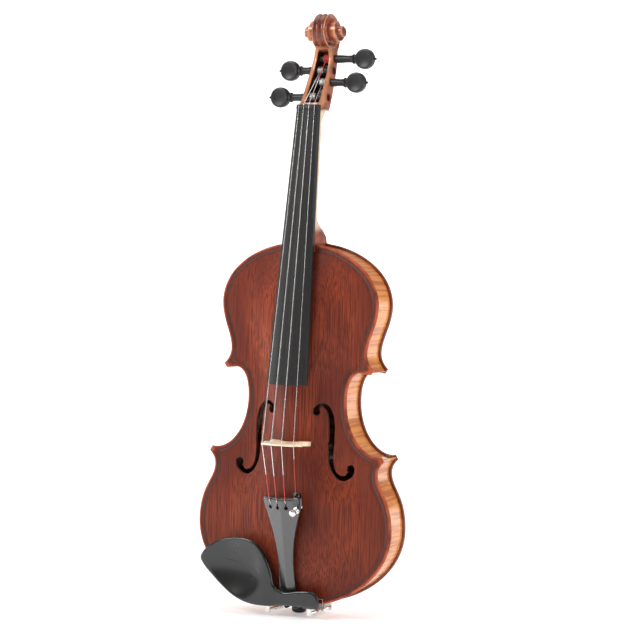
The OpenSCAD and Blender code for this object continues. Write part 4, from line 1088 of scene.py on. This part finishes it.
def repeat_tree(name, inputs):
    """A group of nodes for things that repeat, with its inputs by label, kind and value.

    Gives the group, its inputs' keys, the functions that add a node and a link, and the node
    with the inputs' values. Link what is made to the socket that comes last: there it becomes
    real mesh and takes the finish.
    """
    tree = bpy.data.node_groups.new(name, "GeometryNodeTree")
    tree.interface.new_socket("Mesh", in_out="OUTPUT", socket_type="NodeSocketGeometry")
    keys = {}
    for label, kind, value in (*inputs, ("Finish", "Material", None)):
        made = tree.interface.new_socket(label, in_out="INPUT", socket_type="NodeSocket" + kind)
        if value is not None:
            made.default_value = value
        keys[label] = made.identifier
    new, link = tree.nodes.new, tree.links.new
    given, out = new("NodeGroupInput"), new("NodeGroupOutput")
    real, paint = new("GeometryNodeRealizeInstances"), new("GeometryNodeSetMaterial")
    link(real.outputs[0], paint.inputs["Geometry"])
    link(given.outputs["Finish"], paint.inputs["Material"])
    link(paint.outputs[0], out.inputs[0])
    return tree, keys, new, link, given, real.inputs[0]


def helix_tree():
    """Turns of string wound on a peg: a rod swept along a coil, put in place."""
    tree, keys, new, link, given, end = repeat_tree("string_turns", (
        ("Turns", "Float", 5.0), ("Coil radius", "Float", 0.004), ("Width", "Float", 0.006),
        ("Rod radius", "Float", 0.0004), ("Centre", "Vector", (0, 0, 0))))
    coil, circle = new("GeometryNodeCurveSpiral"), new("GeometryNodeCurvePrimitiveCircle")
    sweep, put_down = new("GeometryNodeCurveToMesh"), new("GeometryNodeTransform")
    coil.inputs["Resolution"].default_value = 28
    circle.inputs["Resolution"].default_value = 8
    sweep.inputs["Fill Caps"].default_value = True
    put_down.inputs["Rotation"].default_value = (0, math.pi / 2, 0)
    for label, node, socket in (("Turns", coil, "Rotations"), ("Coil radius", coil, "Start Radius"),
                                ("Coil radius", coil, "End Radius"), ("Width", coil, "Height"),
                                ("Rod radius", circle, "Radius"),
                                ("Centre", put_down, "Translation")):
        link(given.outputs[label], node.inputs[socket])
    link(coil.outputs[0], sweep.inputs["Curve"])
    link(circle.outputs[0], sweep.inputs["Profile Curve"])
    link(sweep.outputs[0], put_down.inputs["Geometry"])
    link(put_down.outputs[0], end)
    return tree, keys


def knurl_tree():
    """Ridges set round a drum: one ridge instanced on a ring of points."""
    tree, keys, new, link, given, end = repeat_tree("knurled_rim", (
        ("Count", "Int", 26), ("Radius", "Float", 0.0033), ("Height", "Float", 0.0024)))
    ring, ridge = new("GeometryNodeMeshCircle"), new("GeometryNodeMeshCylinder")
    spread = new("GeometryNodeInstanceOnPoints")
    ridge.inputs["Vertices"].default_value = 6
    ridge.inputs["Radius"].default_value = 0.00026
    link(given.outputs["Count"], ring.inputs["Vertices"])
    link(given.outputs["Radius"], ring.inputs["Radius"])
    link(given.outputs["Height"], ridge.inputs["Depth"])
    link(ring.outputs[0], spread.inputs["Points"])
    link(ridge.outputs[0], spread.inputs["Instance"])
    link(spread.outputs[0], end)
    return tree, keys


def grown(name, tree, keys, values):
    """An object that a group of nodes makes from values given by label."""
    obj = put(name, bpy.data.meshes.new(name))
    repeat = obj.modifiers.new("repeat", "NODES")
    repeat.node_group = tree
    for label, value in values.items():
        repeat[keys[label]] = value
    plain_mesh(obj)
    return obj


coil_tree, coil_keys = helix_tree()
for key, (r, tail_x, share) in STRINGS.items():
    side, peg_y, peg_z, _ = PEGS[key]
    bridge_x, nut_x = share * BRIDGE_SPREAD, share * NUT_SPREAD
    wind_x = nut_x * 0.3 + side * 1.2
    over_bridge = (bridge_x, BRIDGE_Y, bridge_z(bridge_x) + r + 0.02)
    over_nut = [(nut_x, NUT_Y + d, NUT_Z - sag(nut_x, BOARD_R) + r + 0.05) for d in (0.6, 5.2)]
    to_peg = (wind_x, peg_y - 1.2, peg_z + WINDING_R + 0.1)
    if key == "e":
        first = [hook_at]
    else:
        first = list(on_tail([(tail_x, BALL_V, -4), (tail_x, -2.6, facet(tail_x) + 0.2),
                              (tail_x, 0, facet(tail_x) + 1.05 + r)]))
    run = np.array([*first, over_bridge, *over_nut, to_peg])
    fine = []
    for a, b in zip(run[:-1], run[1:]):
        fine += [a + (b - a) * t for t in (0, 0.02, 0.5, 0.98)]
    fine.append(run[-1])
    silk = [metres_up(y) for y in SILK_ENDS[key]]
    peg_silk = metres_up(A_SILK_FROM) if key == "a" else None
    finish = string_finish(f"string_{key}_finish", silk, peg_silk)
    line = solid(f"string_{key}_line", [tube(fine, r, 8)], finish, 60)
    fit(line, "string_metal", f"string_{key}")
    rod = max(r, 0.3)
    centre = place([(wind_x - WINDING_HW, peg_y, peg_z)])[0]
    holder = grown(f"winding_{key}_turns", coil_tree, coil_keys, {
        "Turns": 2 * WINDING_HW / (2.1 * rod), "Coil radius": (WINDING_R - rod) * MM,
        "Width": 2 * WINDING_HW * MM, "Rod radius": rod * MM,
        "Centre": [float(c) for c in centre],
        "Finish": SILK.material if key == "a" else WINDING.material})
    tidy(holder.data, 60)
    fit(holder, "string_metal", f"winding_{key}", body=f"peg_{key}")

# ---- fine tuner ----
FRAME_HW, FRAME_W, PIVOT_V, PIVOT_W = 3, -1.95, 5.4, -4.6
frame_parts = [box((TUNER_X - FRAME_HW, SCREW_V + start, FRAME_W),
                   (TUNER_X + FRAME_HW, SCREW_V + stop, FRAME_W + 1), 0.25)
               for start, stop in ((-3, 3), (2, 12.4))]
for side in (-1, 1):
    x = TUNER_X + side * (FRAME_HW - 0.5)
    frame_parts.append(box((x - 0.5, 2.6, PIVOT_W - 1.8), (x + 0.5, 7.2, PIVOT_W + 1.6), 0.2))
# The frame takes the nickel darkened as painted shade for its place under the tailpiece.
fit(solid("tuner_frame_plate", [tailed(p) for p in frame_parts], NICKEL_PAINTED_SHADE, 30), "plated_steel",
    "tuner_frame")
ring_nut = lathe([(0, 3.0), (0.2, 3.3), (1.1, 3.3), (1.4, 2.9), (1.4, 1.4), (0.0, 1.4), (0, 3.0)],
                 (TUNER_X, SCREW_V, FRAME_W + 1), (0, 0, 1), 32)
fit(solid("tuner_ring", [(on_tail(ring_nut[0]), ring_nut[1][:-2])], NICKEL, 30), "plated_steel",
    "tuner_ring_nut")
lever_flat = [(3.7, -4.6), (4, -9), (1, -9.9), (-12, -9.9), (-12, -11.2), (2, -11.2), (5.6, -10),
              (7, -5), (7, -3.4), (9.6, -2.2), (9.4, -0.9), (8.6, -1.8), (5.4, -3.2)]
lever = solid("tuner_lever_arm", [
    tailed(prism(lever_flat, TUNER_X - 1.7, TUNER_X + 1.7, 0)),
    tailed(lathe([(-3, 0.6), (-2.9, 0.8), (2.9, 0.8), (3, 0.6)], (TUNER_X, PIVOT_V, PIVOT_W),
                 (1, 0, 0), 20))], NICKEL, 30)
fit(lever, "plated_steel", "tuner_lever", body="tuner_lever")
threads = [(-9.6, 0.8), (-9.2, 1.05)]
for k in range(30):
    threads += [(-9 + k * 0.5, 1.05), (-8.75 + k * 0.5, 1.2)]
threads += [(6.2, 1.2), (8.6, 1.2), (9, 0.9)]
fit(solid("tuner_screw_thread", [tailed(lathe(threads, (TUNER_X, SCREW_V, 0), (0, 0, 1), 20))],
          NICKEL, 25), "plated_steel", "tuner_screw", body="tuner_screw")

KNOB_W = 5.6
knob = lathe([(0, 0), (0, 2.6), (0.3, 3.1), (0.6, 3.25), (3.0, 3.25), (3.4, 3.0), (3.8, 2.3),
              (4.05, 1.2), (4.2, 0)], (TUNER_X, SCREW_V, KNOB_W), (0, 0, 1), 40)
knob = solid("tuner_knob_head", [tailed(knob)], NICKEL, 28)
rim = grown("rim", *knurl_tree(), {"Count": 26, "Radius": 0.00324, "Height": 0.0022,
                                   "Finish": NICKEL.material})
ridges = np.array([v.co for v in rim.data.vertices]) / MM + [TUNER_X, SCREW_V, KNOB_W + 1.8]
rim.data.vertices.foreach_set("co", place(on_tail(ridges)).astype(np.float32).ravel())
merge(knob, rim)
fit(knob, "plated_steel", "tuner_knob", body="tuner_knob")

# ---- chin rest ----
CUP = [(-90, 44), (-84, 53), (-74, 60), (-62, 64), (-46, 65.5), (-34, 63), (-25, 56), (-18, 45),
       (-13.5, 33), (-11.5, 23), (-8, 17), (-8, 2.5), (-22, 0.5), (-38, 2), (-54, 8), (-68, 17.5),
       (-79, 28), (-87, 37)]
ARM = [(-12, 18), (0, 15.5), (14, 17.5), (26, 18.5), (33, 15.5), (36, 9), (34.5, 3.5), (22, 2.4),
       (0, 2.4), (-12, 2.6)]


def pad(outline, ribbon, top, bottom, round_r):
    """A moulded slab: its outline is drawn in to a line inside it, its edges rounded over."""
    edge = flow(outline, 7, True)
    line = flow(ribbon, 12)
    aim = line[np.argmin(((edge[:, None] - line[None]) ** 2).sum(2), axis=1)]
    kernel = np.exp(-(np.arange(-9, 10) / 4.0) ** 2)
    kernel /= kernel.sum()
    aim = np.column_stack([np.convolve(np.concatenate([aim[-9:, k], aim[:, k], aim[:9, k]]),
                                       kernel, "valid") for k in (0, 1)])
    reach = np.linalg.norm(aim - edge, axis=1)[:, None]
    steps = [edge + (aim - edge) * np.minimum(0.5, near / reach)
             for near in (0, 0.25, 0.7, 1.3, 2.1, 3.0, 4.2)]
    steps += [steps[-1] + (aim - steps[-1]) * share for share in np.linspace(0, 0.97, 13)[1:]]
    upper, lower = [], []
    for step in steps:
        high, low = top(step[:, 0], step[:, 1]), bottom(step[:, 0], step[:, 1])
        drop = np.minimum(fall(loop_distance(step, edge), round_r), (high - low) / 2 - 0.05)
        upper.append(np.column_stack([step, high - drop]))
        lower.append(np.column_stack([step, low + drop]))
    return loft(lower[::-1] + upper)


DISH_LOW, DISH_R, UNDERSIDE = 50.4, 74, 47.0


def cup_top(x, y):
    """The dish, whose rim flattens towards the back and falls to the arm."""
    bowl = DISH_LOW + sag(np.minimum(np.hypot(x + 50, y - 38), 55), DISH_R)
    rim = np.interp(x, [-90, -60, -20, -8], [57.6, 57.8, 55.5, 52.4])
    return -np.log(np.exp(-bowl) + np.exp(-rim))


def cup_low(x, y):
    return np.maximum(UNDERSIDE, cup_top(x, y) - 5.2)


def arm_top(x, y):
    return np.interp(x, [-12, 0, 20, 36], [52.6, 52, 51.6, 49.6]) + 0 * y


def arm_low(x, y):
    return UNDERSIDE + 0 * x


cup = pad(CUP, [(-70, 44), (-50, 40), (-32, 34), (-20, 24), (-14, 14)], cup_top, cup_low, 2.2)
arm = pad(ARM, [(-7, 11), (8, 10.5), (20, 11), (28, 11)], arm_top, arm_low, 2.0)
FOOT_X, FOOT_L, FOOT_PAD = (19, -35), 16, 2
feet = [box((x, 1, BELLY_Z + FOOT_PAD), (x + FOOT_L, 9.6, 49), 0.6) for x in FOOT_X]
fit(solid("chinrest_ebony", [cup, arm] + feet, SHINY, 50), "ebony", "chinrest_plate")
corks = [box((x, 0.6, BELLY_Z + 0.02), (x + FOOT_L, 9.6, BELLY_Z + FOOT_PAD), 0.15)
         for x in FOOT_X]
fit(solid("chinrest_corks", corks, CORK, 30), "cork", "chinrest_cork")
LEG_X, LEG_Y, LEG_R, BARREL_Z = 22.5, -5, 1.5, 8
legs = []
for x in (-LEG_X, LEG_X):
    legs.append(lathe([(17.5, 1.2), (17.9, LEG_R), (39.6, LEG_R), (40, 1.2)], (x, LEG_Y, 0),
                      (0, 0, 1), 24))
    legs.append(box((x - 2.4, LEG_Y - 2.4, 39), (x + 2.4, 1, 41.2), 0.4))
fit(solid("chinrest_legs", legs, NICKEL, 30), "plated_steel", "chinrest_bracket")
low_legs = [box((-LEG_X - 3, LEG_Y - 2.6, -8.4), (LEG_X + 3, 4.6, -6), 0.5)]
for x in (-LEG_X, LEG_X):
    low_legs.append(lathe([(-7, LEG_R), (14.1, LEG_R), (14.5, 1.2)], (x, LEG_Y, 0), (0, 0, 1), 24))
fit(solid("clamp_foot_bar", low_legs, NICKEL, 30), "plated_steel", "clamp_foot", body="clamp_foot")
fit(solid("clamp_foot_pad", [box((-LEG_X - 2, 0.4, -6), (LEG_X + 2, 4.6, -4.1), 0.15)], CORK, 30),
    "cork", "clamp_foot_cork", body="clamp_foot")
for x, hand in ((-LEG_X, "bass"), (LEG_X, "treble")):
    ring = [(0, 1.6), (0, 2.5), (0.4, 2.9), (0.8, 3.0), (6.2, 3.0), (6.6, 2.8), (9.4, 2.8),
            (9.8, 3.0), (15.2, 3.0), (15.6, 2.9), (16, 2.5), (16, 1.6)]
    points, faces = lathe(ring + [ring[0]], (x, LEG_Y, BARREL_Z), (0, 0, 1), 32)
    barrel = solid(f"barrel_{hand}_tube", [(points, faces[:-2])], NICKEL, 28)
    for way in ((1, 0, 0), (0, 1, 0)):
        carve(barrel, [lathe([(-6, 0.8), (6, 0.8)], (x, LEG_Y, BARREL_Z + 8), way, 16)],
              NICKEL, 28)
    fit(barrel, "plated_steel", f"barrel_{hand}", body=f"barrel_{hand}")

# ---- inner pieces keep their own shapes ----
INSIDE = {"neck_block": WILLOW, "end_block": WILLOW, "corner_blocks": WILLOW,
          "top_linings": WILLOW, "back_linings": WILLOW, "bass_bar": SPRUCE,
          "sound_post": SPRUCE}
for node, finish in INSIDE.items():
    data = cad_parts[node].data
    data.materials.clear()
    data.materials.append(finish.material)

# ---- floor, light and camera ----
floor_finish = Finish("pale_floor", Roughness=0.32, Emission_Strength=1.0)
grey = floor_finish.noise((3, 3, 3), 2)
away_from_it = floor_finish.node("ShaderNodeVectorMath", {"operation": "LENGTH"},
                                 {0: floor_finish.place}, "Value")
# The floor glows a little by the violin, where its shadow shows, and more far from it
glow = floor_finish.mix(floor_finish.rise(away_from_it, 0.8, 2.4), (0.36, 0.36, 0.36),
                        (0.78, 0.78, 0.78))
pale = floor_finish.mix(grey * 0.2, (0.93, 0.93, 0.93), (0.89, 0.89, 0.89))
floor_finish.feed(Base_Color=pale, Emission_Color=glow)
floor_z = min(cad_low.z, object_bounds()[0].z)


def stage(name, profile):
    """A strip of the floor and backdrop, swept across from its profile, in metres."""
    rows = [[(side * 6, along, floor_z + up) for side in (-1, 1)] for along, up in profile]
    points, faces = loft(rows, closed=False, ends=False)
    mesh = bpy.data.meshes.new(name)
    mesh.from_pydata(points.tolist(), [], faces)
    mesh.shade_smooth()
    mesh.materials.append(floor_finish.material)
    made = put(name, mesh)
    made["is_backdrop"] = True
    return made


stage("floor", [(-4, 0), (0, 0), (2.2, 0)])
backdrop = stage("backdrop", [(2.2, 0), (2.9, 0.08), (3.5, 0.4), (3.9, 1.0), (4.0, 2.0),
                              (4.0, 5.0)])
backdrop.visible_glossy = False

# The sky is white to the camera and dim to everything it lights
SKY_LIGHT = 0.28
world = bpy.data.worlds.new("studio")
bpy.context.scene.world = world
world.use_nodes = True
sky = world.node_tree.nodes["Background"]
sky.inputs["Color"].default_value = (1, 1, 1, 1)
rays = world.node_tree.nodes.new("ShaderNodeLightPath")
strength = world.node_tree.nodes.new("ShaderNodeMath")
strength.operation = "MULTIPLY_ADD"
strength.inputs[1].default_value = 1.0 - SKY_LIGHT
strength.inputs[2].default_value = SKY_LIGHT
world.node_tree.links.new(rays.outputs["Is Camera Ray"], strength.inputs[0])
world.node_tree.links.new(strength.outputs[0], sky.inputs["Strength"])

middle = Vector((0, -0.0175, -0.19))
# Each soft light's place and size in metres, and its power in watts
LIGHTS = {"key": ((-0.9, -1.5, 1.1), (0.8, 0.8), 30),
          "side": ((1.7, 0.25, 0.1), (0.7, 1.6), 15),
          "left": ((-1.75, -0.75, 0.0), (0.5, 1.1), 9),
          "rib": ((1.15, 2.1, -0.25), (0.28, 0.5), 1.6),
          "top": ((0.2, 0.3, 2.2), (2.4, 2.0), 30)}
for name, (at, size, power) in LIGHTS.items():
    light = bpy.data.lights.new(name, "AREA")
    light.shape, light.size, light.size_y = "RECTANGLE", *size
    light.energy = power
    lamp = put(name, light)
    lamp.location = at
    lamp.rotation_euler = (middle - Vector(at)).to_track_quat("-Z", "Y").to_euler()

AZIMUTH, ELEVATION, ROLL = (math.radians(a) for a in (25.55, 2.06, 1.57))
DISTANCE = 2.354
away = Vector((math.sin(AZIMUTH) * math.cos(ELEVATION), -math.cos(AZIMUTH) * math.cos(ELEVATION),
               math.sin(ELEVATION)))
right = Vector((math.cos(AZIMUTH), math.sin(AZIMUTH), 0))
up = away.cross(right)
rolled_right = right * math.cos(ROLL) + up * math.sin(ROLL)
rolled_up = up * math.cos(ROLL) - right * math.sin(ROLL)
camera_data = bpy.data.cameras.new("camera")
camera_data.lens, camera_data.sensor_width = 139.2, 36
camera_data.shift_x, camera_data.shift_y = 0.0213, -0.0029
camera = put("camera", camera_data)
turn = Matrix((rolled_right, rolled_up, away)).transposed()
camera.matrix_world = Matrix.Translation(middle + away * DISTANCE) @ turn.to_4x4()
bpy.context.scene.camera = camera
bpy.context.scene.view_settings.view_transform = "Standard"

low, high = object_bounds()
